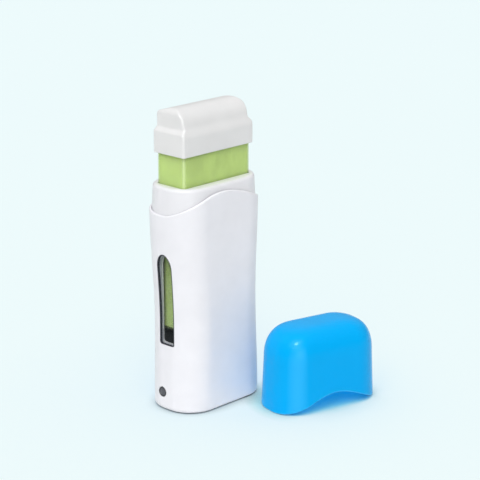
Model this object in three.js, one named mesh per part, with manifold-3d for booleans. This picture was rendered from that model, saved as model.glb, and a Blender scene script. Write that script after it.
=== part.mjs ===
// A hand-held heater for a flat roll-on wax cartridge, in millimetres, +Z up.
// The wide faces look along -Y (front) and +Y (back). The window is on the -X side.
// The origin is on the face that the base rests on, below the middle of the neck.
// The cartridge stands drawn up out of its chamber, and the lid stands beside the heater.

import * as THREE from 'three';
import { mergeVertices } from 'three/addons/utils/BufferGeometryUtils.js';
import Module from 'manifold-3d';

const wasm = await Module();
wasm.setup();

// Fits
const GAP = 0.3;
const SEAT_GAP = 0.3;
const OVERRUN = 1;

// Outer casing, whose width, depth and height follow from what it holds
const BODY_NARROW_FLAT = 5;
const BODY_WALL = 1.3;
const BODY_LIFT = 0.4;
const BASE_ROOM = 29.4;
const FOOT_ROUND = 2;
const FOOT_LIP = 2.2;
const FOOT_LIP_H = 1.5;
const WINDOW_WAIST_GAP = 0.33;
const WINDOW_WAIST_Z = 54;
const WINDOW_FOOT_IN = 2.4;
const INLET_WAIST_GAP = 1.42;
const INLET_WAIST_Z = 66;
const INLET_FOOT_IN = 0.1;
const FLARE_OVER = 3.1;
const SHELF_W = 1.2;
const SHELF_H = 3;
const SHELF_DROP = 2.9;

// Wavy edge at the shoulder, with its crest at WAVE_CREST_X on both wide faces
const SHOULDER_DROP = 16.3;
const WAVE_H = 12.3;
const WAVE_POWER = 0.9;
const WAVE_CREST_X = -4.2;
const WAVE_RUN = 14;
const EDGE_ROUND = 0.7;

// Neck
const DRAFT = 0.04;
const DECK_T = 1.6;
const RIM_ROUND = 1.2;
const NECK_SKIRT_T = 1;
const NECK_SKIRT_H = 13;
const NECK_CORNER_GAP = 0.51;
const MOUTH_BEVEL = 0.5;

// Wax cartridge
const CART_W = 54.8;
const CART_D = 22.5;
const CART_CORNER = 1.4;
const CART_H = 107.6;
const CART_WALL = 1.2;
const CART_FOOT_ROUND = 1.2;
const CART_RAISED = 18;
const HEAD_PLUG_H = 5.5;
const HEAD_FLANGE_T = 2.2;
const HEAD_END_STEP = 2.8;
const HEAD_SIDE_STEP = 3.25;
const HEAD_BLOCK_CORNER = 3;
const HEAD_BLOCK_H = 11.5;
const CHEEK_T = 2.8;
const CHEEK_R = 4.6;
const CHEEK_ROOT = 4;
const ROLLER_R = 5.5;
const ROLLER_RISE = 14.4;
const TRUNNION_R = 1.2;
const ROLLER_POCKET_GAP = 0.4;
const WAX_SLOT_W = 3;
const WAX_SLOT_END_IN = 4.6;

// Cap of the cartridge, with a crowned top whose crest lies along X
const CAP_WALL = 1;
const CAP_GAP = 0.4;
const CAP_LAP = 0.9;
const CAP_REST = 0.4;
const CAP_HEAD_GAP = 2.3;
const CAP_SKIRT_H = 12.2;
const CAP_STEP_H = 3.6;
const CAP_END_IN = 2.3;
const CAP_FRONT_IN = 2.2;
const CAP_BACK_IN = 0.5;
const CAP_CORNER = 1.6;
const CAP_CORNER_SHARE = 0.45;
const CAP_CREST_Y = -1;
const CAP_CROWN_DROP = 2.2;
const CAP_CREST_CUT = 0.06;
const CAP_FRONT_RISE = 10;
const CAP_BACK_ROUND = 2;
const CAP_END_ROUND = 4;

// Chamber that holds the cartridge
const CHAMBER_GAP = 0.3;
const CHAMBER_WALL = 0.6;
const CHAMBER_FLOOR_T = 1.2;

// Window and indicator lamp
const WINDOW_RISE = 10.2;
const WINDOW_H = 56.2;
const WINDOW_HALF_W = 6;
const WINDOW_ARCH_H = 8.5;
const WINDOW_CORNER = 1.4;
const WINDOW_T = 1.9;
const WINDOW_SUNK = 0.25;
const WINDOW_FLANGE = 2;
const WINDOW_FLANGE_T = 0.7;
const WINDOW_MARGIN = 4;
const LAMP_Y = 3.2;
const LAMP_Z = 11;
const LAMP_R = 3;
const LAMP_CROWN = 0.7;
const LAMP_FLANGE = 0.9;
const LAMP_FLANGE_T = 0.9;
const LED_R = 1.5;
const LED_L = 4.6;
const LED_SEAT = 0.1;
const LED_LAP = 1.15;

// Heaters
const APERTURE_END_IN = 7.4;
const APERTURE_H = 58;
const HEATER_RISE = 43.4;
const PLATE_LAP = 2.5;
const PLATE_T = 1;
const PTC_W = 24;
const PTC_H = 15;
const PTC_T = 2.4;
const SPRING_T = 0.4;
const SPRING_RISE = 2.45;
const SPRING_W = 10;
const SPRING_H = 32;
const FUSE_R = 1.9;
const FUSE_L = 11;
const FUSE_RISE = 17;
const GRIP_W = 8;
const GRIP_H = 30;
const GRIP_RISE = 18;
const GRIP_SLOT_SHARE = 0.42;

// Base, board and mains inlet
const BASE_T = 2.4;
const SCREW_END_IN = 12.9;
const SCREW_INLET_GAP = 2;
const SCREW_WALL_IN = 9.5;
const SCREW_R = 1.2;
const SCREW_L = 11;
const SCREW_TIP = 1;
const SCREW_HOLE_SPARE = 2;
const SCREW_HEAD_R = 2.3;
const SCREW_HEAD_H = 1.1;
const SCREW_SLOT_W = 0.5;
const SCREW_SLOT_DEEP = 0.6;
const SCREW_SINK = 0.2;
const BOSS_R = 3;
const RIB_T = 1.4;
const RIB_LIFT = 1;
const BOARD_L = 36;
const BOARD_W = 14;
const BOARD_T = 1.6;
const BOARD_POST_R = 2.2;
const BOARD_POST_INSET = 8;
const RESISTOR_R = 1.2;
const RESISTOR_L = 6.5;
const RESISTOR_END = 1.6;
const RESISTOR_TAPER = 0.4;
const RESISTOR_WAIST_R = 0.96;
const INLET_Z = 12;
const INLET_W = 16.4;
const INLET_H = 10;
const INLET_L = 17;
const INLET_WALL = 1.2;
const INLET_DEPTH = 12;
const INLET_SUNK = 1.2;
const CRADLE_IN = 3;
const CRADLE_T = 2;
const PIN_R = 1.15;
const PIN_SPACING = 8.6;
const PIN_STANDOUT = 9;
const PIN_TAIL = 2;
const WIRE_R = 0.8;
const WIRE_LAP = 6;
const WIRE_STRAIGHT = 3;
const HEATER_WIRE_X = -4;
const HEATER_WIRE_UP = 14;

// Lid, standing beside the heater
const LID_H = 50;
const LID_WALL = 1.5;
const LID_DOME_H = 20;
const LID_X_POWER = 4.2;
const LID_Y_POWER = 3.6;
const LID_RISE_POWER = 2.2;
const LID_ARCH_H = 10.5;
const LID_ARCH_POWER = 1.6;
const LID_ASIDE = 8.7;
const LID_AHEAD = 31.5;
const LID_TURN = -14;

// Steps along an outline and up a profile
const BODY_STEPS = { corner: 8, narrow: 2, wide: 10 };
const BOX_STEPS = { corner: 4, narrow: 1, wide: 2 };
const ROUND_STEPS = 4;
const BODY_RINGS = 7;
const INNER_RINGS = 5;
const DOME_RINGS = 9;
const ROUND_SIDES = 20;
const SMALL_SIDES = 12;
const DRUM_SIDES = 32;
const ARCH_STEPS = 12;
const SLOT_STEPS = 8;
const LEAF_STEPS = 12;

const COLOURS = {
  white: { color: 0xeeeef3, roughness: 0.35, metalness: 0 },
  neck: { color: 0xf0f0f4, roughness: 0.35, metalness: 0 },
  cap: { color: 0xe6e6e8, roughness: 0.4, metalness: 0 },
  lid: { color: 0x04abf3, roughness: 0.3, metalness: 0 },
  smoke: { color: 0x5c6466, roughness: 0.1, metalness: 0 },
  lamp: { color: 0x77777b, roughness: 0.2, metalness: 0 },
  wax: { color: 0xb4ce85, roughness: 0.4, metalness: 0 },
  clear: { color: 0xc9dd9c, roughness: 0.2, metalness: 0 },
  dark: { color: 0x353c3b, roughness: 0.6, metalness: 0 },
  aluminium: { color: 0xb8bcc0, roughness: 0.35, metalness: 1 },
  steel: { color: 0x9a9ea3, roughness: 0.3, metalness: 1 },
  ceramic: { color: 0xe4ddcf, roughness: 0.7, metalness: 0 },
  board: { color: 0x3f6b4a, roughness: 0.5, metalness: 0 },
  red: { color: 0xb23a34, roughness: 0.3, metalness: 0 },
  wireBrown: { color: 0x6b4632, roughness: 0.5, metalness: 0 },
  wireBlue: { color: 0x2f5ea8, roughness: 0.5, metalness: 0 },
};

// Places worked out from the sizes above

const CHAMBER_IN = box(CART_W / 2 + CHAMBER_GAP, CART_D / 2 + CHAMBER_GAP);
const CHAMBER_IN_CORNER = CART_CORNER + CHAMBER_GAP;
const CHAMBER_OUT = grown(CHAMBER_IN, CHAMBER_WALL);
const CHAMBER_OUT_CORNER = CHAMBER_IN_CORNER + CHAMBER_WALL;
const CHAMBER_BOTTOM_Z = BASE_ROOM;
const CHAMBER_FLOOR_Z = CHAMBER_BOTTOM_Z + CHAMBER_FLOOR_T;
const CART_BOTTOM_Z = CHAMBER_FLOOR_Z + SEAT_GAP + CART_RAISED;
const CART_TOP_Z = CART_BOTTOM_Z + CART_H;
const CAP_BOTTOM_Z = CART_TOP_Z - CAP_LAP;
const RIM_Z = CAP_BOTTOM_Z - CART_RAISED - CAP_REST;
const SHOULDER_Z = RIM_Z - SHOULDER_DROP;
const FLARE_TOP_Z = SHOULDER_Z + FLARE_OVER;
const SHELF_Z = SHOULDER_Z - SHELF_DROP;
const FLANGE_Z = CART_TOP_Z + SEAT_GAP;
const ROLLER_Z = FLANGE_Z + HEAD_FLANGE_T + ROLLER_RISE;
const CAP_TOP_Z = ROLLER_Z + ROLLER_R + CAP_HEAD_GAP + CAP_WALL;
const CAP_HALF = grown(box(CART_W / 2, CART_D / 2), CAP_GAP + CAP_WALL);
const HEAD_HALF = box(CART_W / 2 - HEAD_END_STEP, CART_D / 2 - HEAD_SIDE_STEP);
const CHEEK_IN_X = HEAD_HALF.x1 - CHEEK_T;

const PLATE_Y = CHAMBER_OUT.y1 + GAP;
const PTC_Y = PLATE_Y + PLATE_T + GAP;
const SPRING_Y0 = PTC_Y + PTC_T + GAP;
const SPRING_Y1 = SPRING_Y0 + SPRING_RISE;
const BODY_D = 2 * (SPRING_Y1 + GAP + BODY_WALL);
const BODY_CORNER = (BODY_D - BODY_NARROW_FLAT) / 2;
const LEDGE = BODY_WALL + GAP;
const SKIRT_IN = BODY_WALL + SHELF_W + GAP;
const NECK_INNER_R = BODY_CORNER - SKIRT_IN - NECK_SKIRT_T;
const BODY_W = 2 * (cornerCentreX(NECK_INNER_R, NECK_CORNER_GAP) + BODY_CORNER);
const WINDOW_SIDE = { waist: waistFor(WINDOW_WAIST_GAP), waistZ: WINDOW_WAIST_Z, foot: WINDOW_FOOT_IN };
const INLET_SIDE = { waist: waistFor(INLET_WAIST_GAP), waistZ: INLET_WAIST_Z, foot: INLET_FOOT_IN };

const WINDOW_Z0 = CHAMBER_FLOOR_Z + WINDOW_RISE;
const WINDOW_Z1 = WINDOW_Z0 + WINDOW_H;
const HEATER_Z = CHAMBER_FLOOR_Z + HEATER_RISE;
const GRIP_Z = HEATER_Z + GRIP_RISE;
const APERTURE_W = CART_W - 2 * APERTURE_END_IN;
const INLET_X1 = BODY_W / 2 - INLET_FOOT_IN - INLET_SUNK;
const INLET_X0 = INLET_X1 - INLET_L;
const LAMP_FACE_X = -BODY_W / 2 + WINDOW_FOOT_IN;
const LAMP_FLANGE_R = LAMP_R + LAMP_FLANGE;
const LAMP_OFF_FLAT = LAMP_Y + LAMP_FLANGE_R - BODY_NARROW_FLAT / 2;
const LAMP_FLANGE_X = LAMP_FACE_X + LEDGE + sagitta(BODY_CORNER - BODY_WALL, LAMP_OFF_FLAT);
const LED_TIP_X = LAMP_FLANGE_X + LAMP_FLANGE_T + GAP;
const BOARD_X0 = LED_TIP_X + LED_L - LED_LAP;
const BOARD_Z = LAMP_Z - LED_R - BOARD_T - LED_SEAT;
const SCREW_XS = [LAMP_FACE_X + SCREW_END_IN, INLET_X0 - BOSS_R - SCREW_INLET_GAP];
const SCREW_Y = BODY_D / 2 - SCREW_WALL_IN;
const LID_AT = [BODY_W / 2 + LID_ASIDE, -BODY_D / 2 - LID_AHEAD];

// The x of a casing corner's centre at which a wall of that corner radius clears the corner of
// the chamber by the given gap.
function cornerCentreX(radius, gap) {
  const acrossY = CHAMBER_OUT.y1 - CHAMBER_OUT_CORNER - BODY_NARROW_FLAT / 2;
  const reach = radius - CHAMBER_OUT_CORNER - gap;
  return CHAMBER_OUT.x1 - CHAMBER_OUT_CORNER - Math.sqrt(reach ** 2 - acrossY ** 2);
}

// How far a narrow side draws in until its wall clears the chamber's corner by the given gap.
function waistFor(gap) {
  return BODY_W / 2 - BODY_CORNER - cornerCentreX(BODY_CORNER - BODY_WALL, gap);
}

// Outlines and closed grids

function box(halfX, halfY) {
  return { x0: -halfX, x1: halfX, y0: -halfY, y1: halfY };
}

function grown(b, by) {
  return { x0: b.x0 - by, x1: b.x1 + by, y0: b.y0 - by, y1: b.y1 + by };
}

// How far an arc of the given radius falls away, across past the end of a flat.
function sagitta(radius, across) {
  const off = Math.max(across, 0);
  return radius - Math.sqrt(radius * radius - off * off);
}

// A rounded rectangle as a list of [x, y], anticlockwise from the front right corner.
function outline(b, corner, steps) {
  const centres = [
    [b.x1 - corner, b.y0 + corner, -90],
    [b.x1 - corner, b.y1 - corner, 0],
    [b.x0 + corner, b.y1 - corner, 90],
    [b.x0 + corner, b.y0 + corner, 180],
  ];
  const arcs = centres.map(([cx, cy, start]) => {
    const arc = [];
    for (let k = 0; k <= steps.corner; k += 1) {
      const a = THREE.MathUtils.degToRad(start + (90 * k) / steps.corner);
      arc.push([cx + corner * Math.cos(a), cy + corner * Math.sin(a)]);
    }
    return arc;
  });
  return arcs.flatMap((arc, i) => {
    const from = arc[arc.length - 1];
    const to = arcs[(i + 1) % 4][0];
    const count = i % 2 === 0 ? steps.narrow : steps.wide;
    const run = [];
    for (let k = 1; k < count; k += 1) {
      const t = k / count;
      run.push([from[0] + (to[0] - from[0]) * t, from[1] + (to[1] - from[1]) * t]);
    }
    return [...arc, ...run];
  });
}

function ringAt(points, z) {
  return points.map(([x, y]) => [x, y, z]);
}

// Joins rings of equally many points into one closed body. The rings run anticlockwise about
// the way they follow. With looped set the last ring joins the first, else both ends are closed.
function gridSolid(rings, looped = false) {
  const count = rings[0].length;
  const positions = rings.flat(2);
  const index = [];
  const bands = looped ? rings.length : rings.length - 1;
  for (let i = 0; i < bands; i += 1) {
    const low = i * count;
    const high = ((i + 1) % rings.length) * count;
    for (let j = 0; j < count; j += 1) {
      const k = (j + 1) % count;
      index.push(low + j, low + k, high + k);
      index.push(low + j, high + k, high + j);
    }
  }
  if (!looped) {
    const first = positions.length / 3;
    positions.push(...middle(rings[0]));
    positions.push(...middle(rings[rings.length - 1]));
    const base = (rings.length - 1) * count;
    for (let j = 0; j < count; j += 1) {
      const k = (j + 1) % count;
      index.push(first, k, j);
      index.push(first + 1, base + j, base + k);
    }
  }
  const geometry = new THREE.BufferGeometry();
  geometry.setAttribute('position', new THREE.Float32BufferAttribute(positions, 3));
  geometry.setIndex(index);
  return geometry;
}

function middle(ring) {
  return [0, 1, 2].map((axis) => ring.reduce((sum, p) => sum + p[axis], 0) / ring.length);
}

function prism(b, corner, z0, z1, steps = BOX_STEPS) {
  const points = outline(b, corner, steps);
  return gridSolid([ringAt(points, z0), ringAt(points, z1)]);
}

function block(x0, x1, y0, y1, z0, z1) {
  const geometry = new THREE.BoxGeometry(x1 - x0, y1 - y0, z1 - z0);
  return geometry.translate((x0 + x1) / 2, (y0 + y1) / 2, (z0 + z1) / 2);
}

function rodZ(radius, x, y, z0, z1, sides = SMALL_SIDES) {
  const geometry = new THREE.CylinderGeometry(radius, radius, z1 - z0, sides);
  return geometry.rotateX(Math.PI / 2).translate(x, y, (z0 + z1) / 2);
}

function rodX(radius, y, z, x0, x1, sides = ROUND_SIDES) {
  const geometry = new THREE.CylinderGeometry(radius, radius, x1 - x0, sides);
  return geometry.rotateZ(Math.PI / 2).translate((x0 + x1) / 2, y, z);
}

// A wire of round section along a smooth curve through the given points.
function wire(points) {
  const path = new THREE.CatmullRomCurve3(points.map((p) => new THREE.Vector3(...p)));
  const section = new THREE.Shape();
  section.absarc(0, 0, WIRE_R, 0, Math.PI * 2, false);
  return new THREE.ExtrudeGeometry(section, { steps: 14, extrudePath: path, curveSegments: 3 });
}

// Joins and cuts

function welded(geometry) {
  const plain = geometry.clone();
  plain.deleteAttribute('normal');
  plain.deleteAttribute('uv');
  return mergeVertices(plain, 1e-5);
}

function solid(geometry) {
  const merged = welded(geometry);
  const vertProperties = new Float32Array(merged.attributes.position.array);
  const triVerts = new Uint32Array(merged.index.array);
  return new wasm.Manifold(new wasm.Mesh({ numProp: 3, vertProperties, triVerts }));
}

function geometryOf(body) {
  const mesh = body.getMesh();
  const geometry = new THREE.BufferGeometry();
  geometry.setAttribute('position', new THREE.BufferAttribute(mesh.vertProperties, 3));
  geometry.setIndex(new THREE.BufferAttribute(mesh.triVerts, 1));
  return geometry;
}

function joined(...geometries) {
  return geometryOf(geometries.map(solid).reduce((sum, next) => sum.add(next)));
}

function cut(geometry, ...cutters) {
  return geometryOf(cutters.map(solid).reduce((left, next) => left.subtract(next), solid(geometry)));
}

function shared(a, b) {
  return geometryOf(solid(a).intersect(solid(b)));
}

// The casing's surface

// How far a narrow side lies inside the shoulder's width at height z: it draws in to the waist
// along half a cosine and opens again towards the foot along another.
function sideIn(side, z) {
  if (z >= FLARE_TOP_Z) {
    return 0;
  }
  if (z > side.waistZ) {
    const t = (FLARE_TOP_Z - z) / (FLARE_TOP_Z - side.waistZ);
    return (side.waist * (1 - Math.cos(Math.PI * t))) / 2;
  }
  const t = (side.waistZ - z) / (side.waistZ - BODY_LIFT);
  return side.waist + ((side.foot - side.waist) * (1 - Math.cos(Math.PI * t))) / 2;
}

// How far a rounded edge of the given radius has drawn in, h below its sharp edge.
function roundIn(radius, h) {
  if (h >= radius) {
    return 0;
  }
  return radius - Math.sqrt(radius * radius - (radius - h) ** 2);
}

function bodyBox(z, inset) {
  return {
    x0: -BODY_W / 2 + sideIn(WINDOW_SIDE, z) + inset,
    x1: BODY_W / 2 - sideIn(INLET_SIDE, z) - inset,
    y0: -BODY_D / 2 + inset,
    y1: BODY_D / 2 - inset,
  };
}

function bodyPoints(z, inset) {
  return outline(bodyBox(z, inset), BODY_CORNER - inset, BODY_STEPS);
}

function bodyRing(z, inset) {
  return ringAt(bodyPoints(z, inset), z);
}

// The height of a wavy edge above its lowest point at each outline point. It follows a raised
// cosine of the way round, from 0 at the middle of a wide face to 1 at the middle of a narrow
// one, and leans so that its crest lies at crestX.
function wave(height, power, crestX) {
  const flatX = BODY_W / 2 - BODY_CORNER;
  const flatY = BODY_NARROW_FLAT / 2;
  const quarter = flatX + (BODY_CORNER * Math.PI) / 2 + flatY;
  return outline(neckBox(0), BODY_CORNER, BODY_STEPS).map(([x, y]) => {
    const overX = Math.max(Math.abs(x) - flatX, 0);
    const overY = Math.max(Math.abs(y) - flatY, 0);
    let s = Math.abs(x);
    if (overX > 0) {
      s = flatX + BODY_CORNER * Math.atan2(overX, overY) + (flatY - Math.min(Math.abs(y), flatY));
    }
    const way = (Math.sign(x) * s) / quarter;
    const leant = way - (crestX / quarter) * (1 - way * way);
    return height * ((1 + Math.cos(Math.PI * leant)) / 2) ** power;
  });
}

// A ring whose height differs from point to point, on the casing's surface set in by inset.
function wavyBodyRing(heightAt, inset) {
  return wave(WAVE_H, WAVE_POWER, WAVE_CREST_X).map((rise, j) => {
    const z = heightAt(rise);
    return [...bodyPoints(z, inset)[j], z];
  });
}

function bodySolid(inset, z0, z1) {
  const rings = [];
  for (let k = 0; k <= BODY_RINGS; k += 1) {
    rings.push(bodyRing(z0 + ((z1 - z0) * k) / BODY_RINGS, inset));
  }
  return gridSolid(rings);
}

function windowPrism(spread, x0, x1) {
  const half = WINDOW_HALF_W + spread;
  const low = WINDOW_Z0 - spread;
  const spring = WINDOW_Z1 - WINDOW_ARCH_H;
  const points = [];
  for (let k = 0; k <= ARCH_STEPS; k += 1) {
    const a = (Math.PI * k) / ARCH_STEPS;
    points.push([half * Math.cos(a), spring + (WINDOW_ARCH_H + spread) * Math.sin(a)]);
  }
  const corner = WINDOW_CORNER;
  for (let k = 0; k <= 3; k += 1) {
    const a = Math.PI + (Math.PI / 2) * (k / 3);
    points.push([-half + corner + corner * Math.cos(a), low + corner + corner * Math.sin(a)]);
  }
  for (let k = 0; k <= 3; k += 1) {
    const a = 1.5 * Math.PI + (Math.PI / 2) * (k / 3);
    points.push([half - corner + corner * Math.cos(a), low + corner + corner * Math.sin(a)]);
  }
  return gridSolid([x0, x1].map((x) => points.map(([y, z]) => [x, y, z])));
}

// A block with half-round ends, along X.
function slotPrism(width, height, z, x0, x1) {
  const half = height / 2;
  const flat = width / 2 - half;
  const points = [];
  [1, -1].forEach((side) => {
    for (let k = 0; k <= SLOT_STEPS; k += 1) {
      const a = (Math.PI * k) / SLOT_STEPS - Math.PI / 2 + (side < 0 ? Math.PI : 0);
      points.push([side * flat + half * Math.cos(a), z + half * Math.sin(a)]);
    }
  });
  return gridSolid([x0, x1].map((x) => points.map(([y, dz]) => [x, y, dz])));
}

// Casing pieces

function screwPlaces() {
  return SCREW_XS.flatMap((x) => [-SCREW_Y, SCREW_Y].map((y) => [x, y]));
}

function bodyShell() {
  const outer = [];
  for (let k = 0; k <= ROUND_STEPS; k += 1) {
    const a = (Math.PI / 2) * (k / ROUND_STEPS);
    const z = BODY_LIFT + FOOT_ROUND * (1 - Math.cos(a));
    outer.push(bodyRing(z, FOOT_ROUND * (1 - Math.sin(a))));
  }
  const straight0 = BODY_LIFT + FOOT_ROUND;
  const straight1 = SHELF_Z - WAVE_RUN;
  for (let k = 1; k <= BODY_RINGS; k += 1) {
    outer.push(bodyRing(straight0 + ((straight1 - straight0) * k) / BODY_RINGS, 0));
  }
  const edge = (rise) => SHOULDER_Z + rise;
  outer.push(wavyBodyRing((rise) => (straight1 + edge(rise) - EDGE_ROUND) / 2, 0));
  [0, 45, 90].forEach((degrees) => {
    const a = THREE.MathUtils.degToRad(degrees);
    const drop = EDGE_ROUND * (1 - Math.sin(a));
    outer.push(wavyBodyRing((rise) => edge(rise) - drop, EDGE_ROUND * (1 - Math.cos(a))));
  });

  const shelfIn = BODY_WALL + SHELF_W;
  const inner = [
    wavyBodyRing(edge, BODY_WALL),
    bodyRing(SHELF_Z, BODY_WALL),
    bodyRing(SHELF_Z, shelfIn),
    bodyRing(SHELF_Z - SHELF_H, shelfIn),
    bodyRing(SHELF_Z - SHELF_H - SHELF_W, BODY_WALL),
  ];
  const low = BODY_LIFT + FOOT_ROUND;
  const high = SHELF_Z - SHELF_H - SHELF_W;
  for (let k = INNER_RINGS - 1; k >= 0; k -= 1) {
    inner.push(bodyRing(low + ((high - low) * k) / INNER_RINGS, BODY_WALL));
  }
  const lipIn = FOOT_ROUND + FOOT_LIP;
  inner.push(bodyRing(BODY_LIFT + FOOT_LIP_H, lipIn));
  inner.push(bodyRing(BODY_LIFT, lipIn));

  const bosses = screwPlaces().map(([x, y]) => bossWithRib(x, y));
  const holeTop = SCREW_SINK + SCREW_L + SCREW_HOLE_SPARE;
  const holes = screwPlaces().map(([x, y]) => rodZ(SCREW_R + GAP, x, y, 0, holeTop));
  const window = windowPrism(0, -BODY_W / 2 - OVERRUN, -BODY_W / 4);
  const lamp = rodX(LAMP_R + GAP / 2, LAMP_Y, LAMP_Z, -BODY_W / 2 - OVERRUN, -BODY_W / 4);
  const inletX1 = BODY_W / 2 + OVERRUN;
  const inlet = slotPrism(INLET_W + 2 * GAP, INLET_H + 2 * GAP, INLET_Z, BODY_W / 4, inletX1);
  return cut(joined(gridSolid([...outer, ...inner], true), ...bosses), ...holes, window, lamp, inlet);
}

// A screw boss that also carries the chamber's floor, tied to the nearest wide wall by a rib.
function bossWithRib(x, y) {
  const z0 = BASE_T + SEAT_GAP;
  const z1 = CHAMBER_BOTTOM_Z - SEAT_GAP;
  const b = bodyBox(z0, 0);
  const fromCentre = Math.max(b.x0 + BODY_CORNER - x, 0);
  const arc = Math.sqrt(BODY_CORNER ** 2 - fromCentre ** 2);
  const wallY = BODY_D / 2 - BODY_CORNER + arc - BODY_WALL / 2;
  const side = Math.sign(y);
  const boss = rodZ(BOSS_R, x, y, z0, z1, ROUND_SIDES);
  const ribY = [Math.min(y, side * wallY), Math.max(y, side * wallY)];
  const ribZ0 = BODY_LIFT + FOOT_ROUND + RIB_LIFT;
  return joined(boss, block(x - RIB_T / 2, x + RIB_T / 2, ...ribY, ribZ0, z1));
}

function neckCollar() {
  const stepZ = SHELF_Z + SEAT_GAP;
  const skirtZ = stepZ - NECK_SKIRT_H;
  const innerIn = SKIRT_IN + NECK_SKIRT_T;
  const flat = (inset, z) => ringAt(outline(neckBox(inset), BODY_CORNER - inset, BODY_STEPS), z);
  const mouth = (spread, z) => {
    const points = outline(grown(CHAMBER_IN, spread), CHAMBER_IN_CORNER + spread, BODY_STEPS);
    return ringAt(points, z);
  };
  const rings = [flat(SKIRT_IN, skirtZ), flat(SKIRT_IN, stepZ), flat(LEDGE, stepZ)];
  rings.push(flat(LEDGE, SHOULDER_Z));
  for (let k = 0; k <= ROUND_STEPS; k += 1) {
    const a = (Math.PI / 2) * (k / ROUND_STEPS);
    const z = RIM_Z - RIM_ROUND * (1 - Math.sin(a));
    rings.push(flat(neckInset(z) + RIM_ROUND * (1 - Math.cos(a)), z));
  }
  rings.push(mouth(MOUTH_BEVEL, RIM_Z));
  rings.push(mouth(0, RIM_Z - MOUTH_BEVEL));
  rings.push(mouth(0, RIM_Z - DECK_T));
  rings.push(flat(innerIn, RIM_Z - DECK_T));
  rings.push(flat(innerIn, skirtZ));
  return gridSolid(rings, true);
}

function neckBox(inset) {
  return grown(box(BODY_W / 2, BODY_D / 2), -inset);
}

function neckInset(z) {
  return LEDGE + DRAFT * (z - SHOULDER_Z);
}

function windowLens() {
  const z0 = WINDOW_Z0 - WINDOW_FLANGE - WINDOW_MARGIN;
  const z1 = WINDOW_Z1 + WINDOW_FLANGE + WINDOW_MARGIN;
  const x0 = -BODY_W / 2;
  const x1 = -BODY_W / 4;
  const pane = shared(bodySolid(WINDOW_SUNK, z0, z1), windowPrism(-GAP / 2, x0, x1));
  const flange = shared(bodySolid(LEDGE, z0, z1), windowPrism(WINDOW_FLANGE, x0, x1));
  const paneBack = bodySolid(WINDOW_SUNK + WINDOW_T, z0 - OVERRUN, z1 + OVERRUN);
  const flangeBack = bodySolid(LEDGE + WINDOW_FLANGE_T, z0 - OVERRUN, z1 + OVERRUN);
  const hollow = windowPrism(-GAP / 2 - WINDOW_FLANGE_T, x0, x1);
  return cut(joined(cut(pane, paneBack), cut(flange, flangeBack)), shared(paneBack, hollow));
}

function indicatorLens() {
  const depth = LAMP_FLANGE_X - LAMP_FACE_X;
  const profile = [];
  for (let k = 0; k <= ROUND_STEPS; k += 1) {
    const a = (Math.PI / 2) * (k / ROUND_STEPS);
    profile.push([LAMP_R * Math.sin(a), LAMP_CROWN * (1 - Math.cos(a))]);
  }
  profile.push([LAMP_R, depth], [LAMP_FLANGE_R, depth]);
  profile.push([LAMP_FLANGE_R, depth + LAMP_FLANGE_T], [0, depth + LAMP_FLANGE_T]);
  const points = profile.map(([r, x]) => new THREE.Vector2(r, -x)).reverse();
  const lens = new THREE.LatheGeometry(points, ROUND_SIDES);
  return lens.rotateZ(Math.PI / 2).translate(LAMP_FACE_X, LAMP_Y, LAMP_Z);
}

function indicatorLed() {
  const profile = [[0, 0]];
  for (let k = 1; k <= 3; k += 1) {
    const a = (Math.PI / 2) * (k / 3);
    profile.push([LED_R * Math.sin(a), LED_R * (1 - Math.cos(a))]);
  }
  profile.push([LED_R, LED_L], [0, LED_L]);
  const points = profile.map(([r, x]) => new THREE.Vector2(r, -x)).reverse();
  const led = new THREE.LatheGeometry(points, SMALL_SIDES).rotateZ(Math.PI / 2);
  return led.translate(LED_TIP_X, LAMP_Y, LAMP_Z);
}

function basePlate() {
  const inset = FOOT_ROUND + FOOT_LIP + GAP;
  const points = bodyPoints(BODY_LIFT, inset);
  const plate = gridSolid([ringAt(points, 0), ringAt(points, BASE_T)]);
  const postTop = BOARD_Z - SEAT_GAP;
  const posts = boardPostXs().map((x) => rodZ(BOARD_POST_R, x, 0, BASE_T / 2, postTop));
  const cradleTop = INLET_Z - INLET_H / 2 - SEAT_GAP;
  const cradleX = INLET_X0 + CRADLE_IN;
  const cradleY = INLET_W / 4;
  const cradle = block(cradleX, cradleX + CRADLE_T, -cradleY, cradleY, BASE_T / 2, cradleTop);
  const cuts = screwPlaces().flatMap(([x, y]) => [
    rodZ(SCREW_R + GAP, x, y, -OVERRUN, BASE_T + OVERRUN),
    rodZ(SCREW_HEAD_R + GAP, x, y, -OVERRUN, SCREW_SINK + SCREW_HEAD_H + GAP / 2, ROUND_SIDES),
  ]);
  return cut(joined(plate, ...posts, cradle), ...cuts);
}

function boardPostXs() {
  return [BOARD_X0 + BOARD_POST_INSET, BOARD_X0 + BOARD_L - BOARD_POST_INSET];
}

function baseScrew([x, y]) {
  const profile = [
    [0, SCREW_SINK],
    [SCREW_HEAD_R, SCREW_SINK],
    [SCREW_HEAD_R, SCREW_SINK + SCREW_HEAD_H],
    [SCREW_R, SCREW_SINK + SCREW_HEAD_H],
    [SCREW_R, SCREW_SINK + SCREW_L - SCREW_TIP],
    [0, SCREW_SINK + SCREW_L],
  ];
  const points = profile.map(([r, z]) => new THREE.Vector2(r, z));
  const screw = new THREE.LatheGeometry(points, SMALL_SIDES).rotateX(Math.PI / 2);
  const reach = SCREW_HEAD_R * 0.7;
  const half = SCREW_SLOT_W / 2;
  const slots = [0, Math.PI / 2].map((turn) => {
    const slot = block(-reach, reach, -half, half, -OVERRUN, SCREW_SINK + SCREW_SLOT_DEEP);
    return slot.rotateZ(turn);
  });
  return cut(screw, ...slots).translate(x, y, 0);
}

// Chamber and heaters

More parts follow.
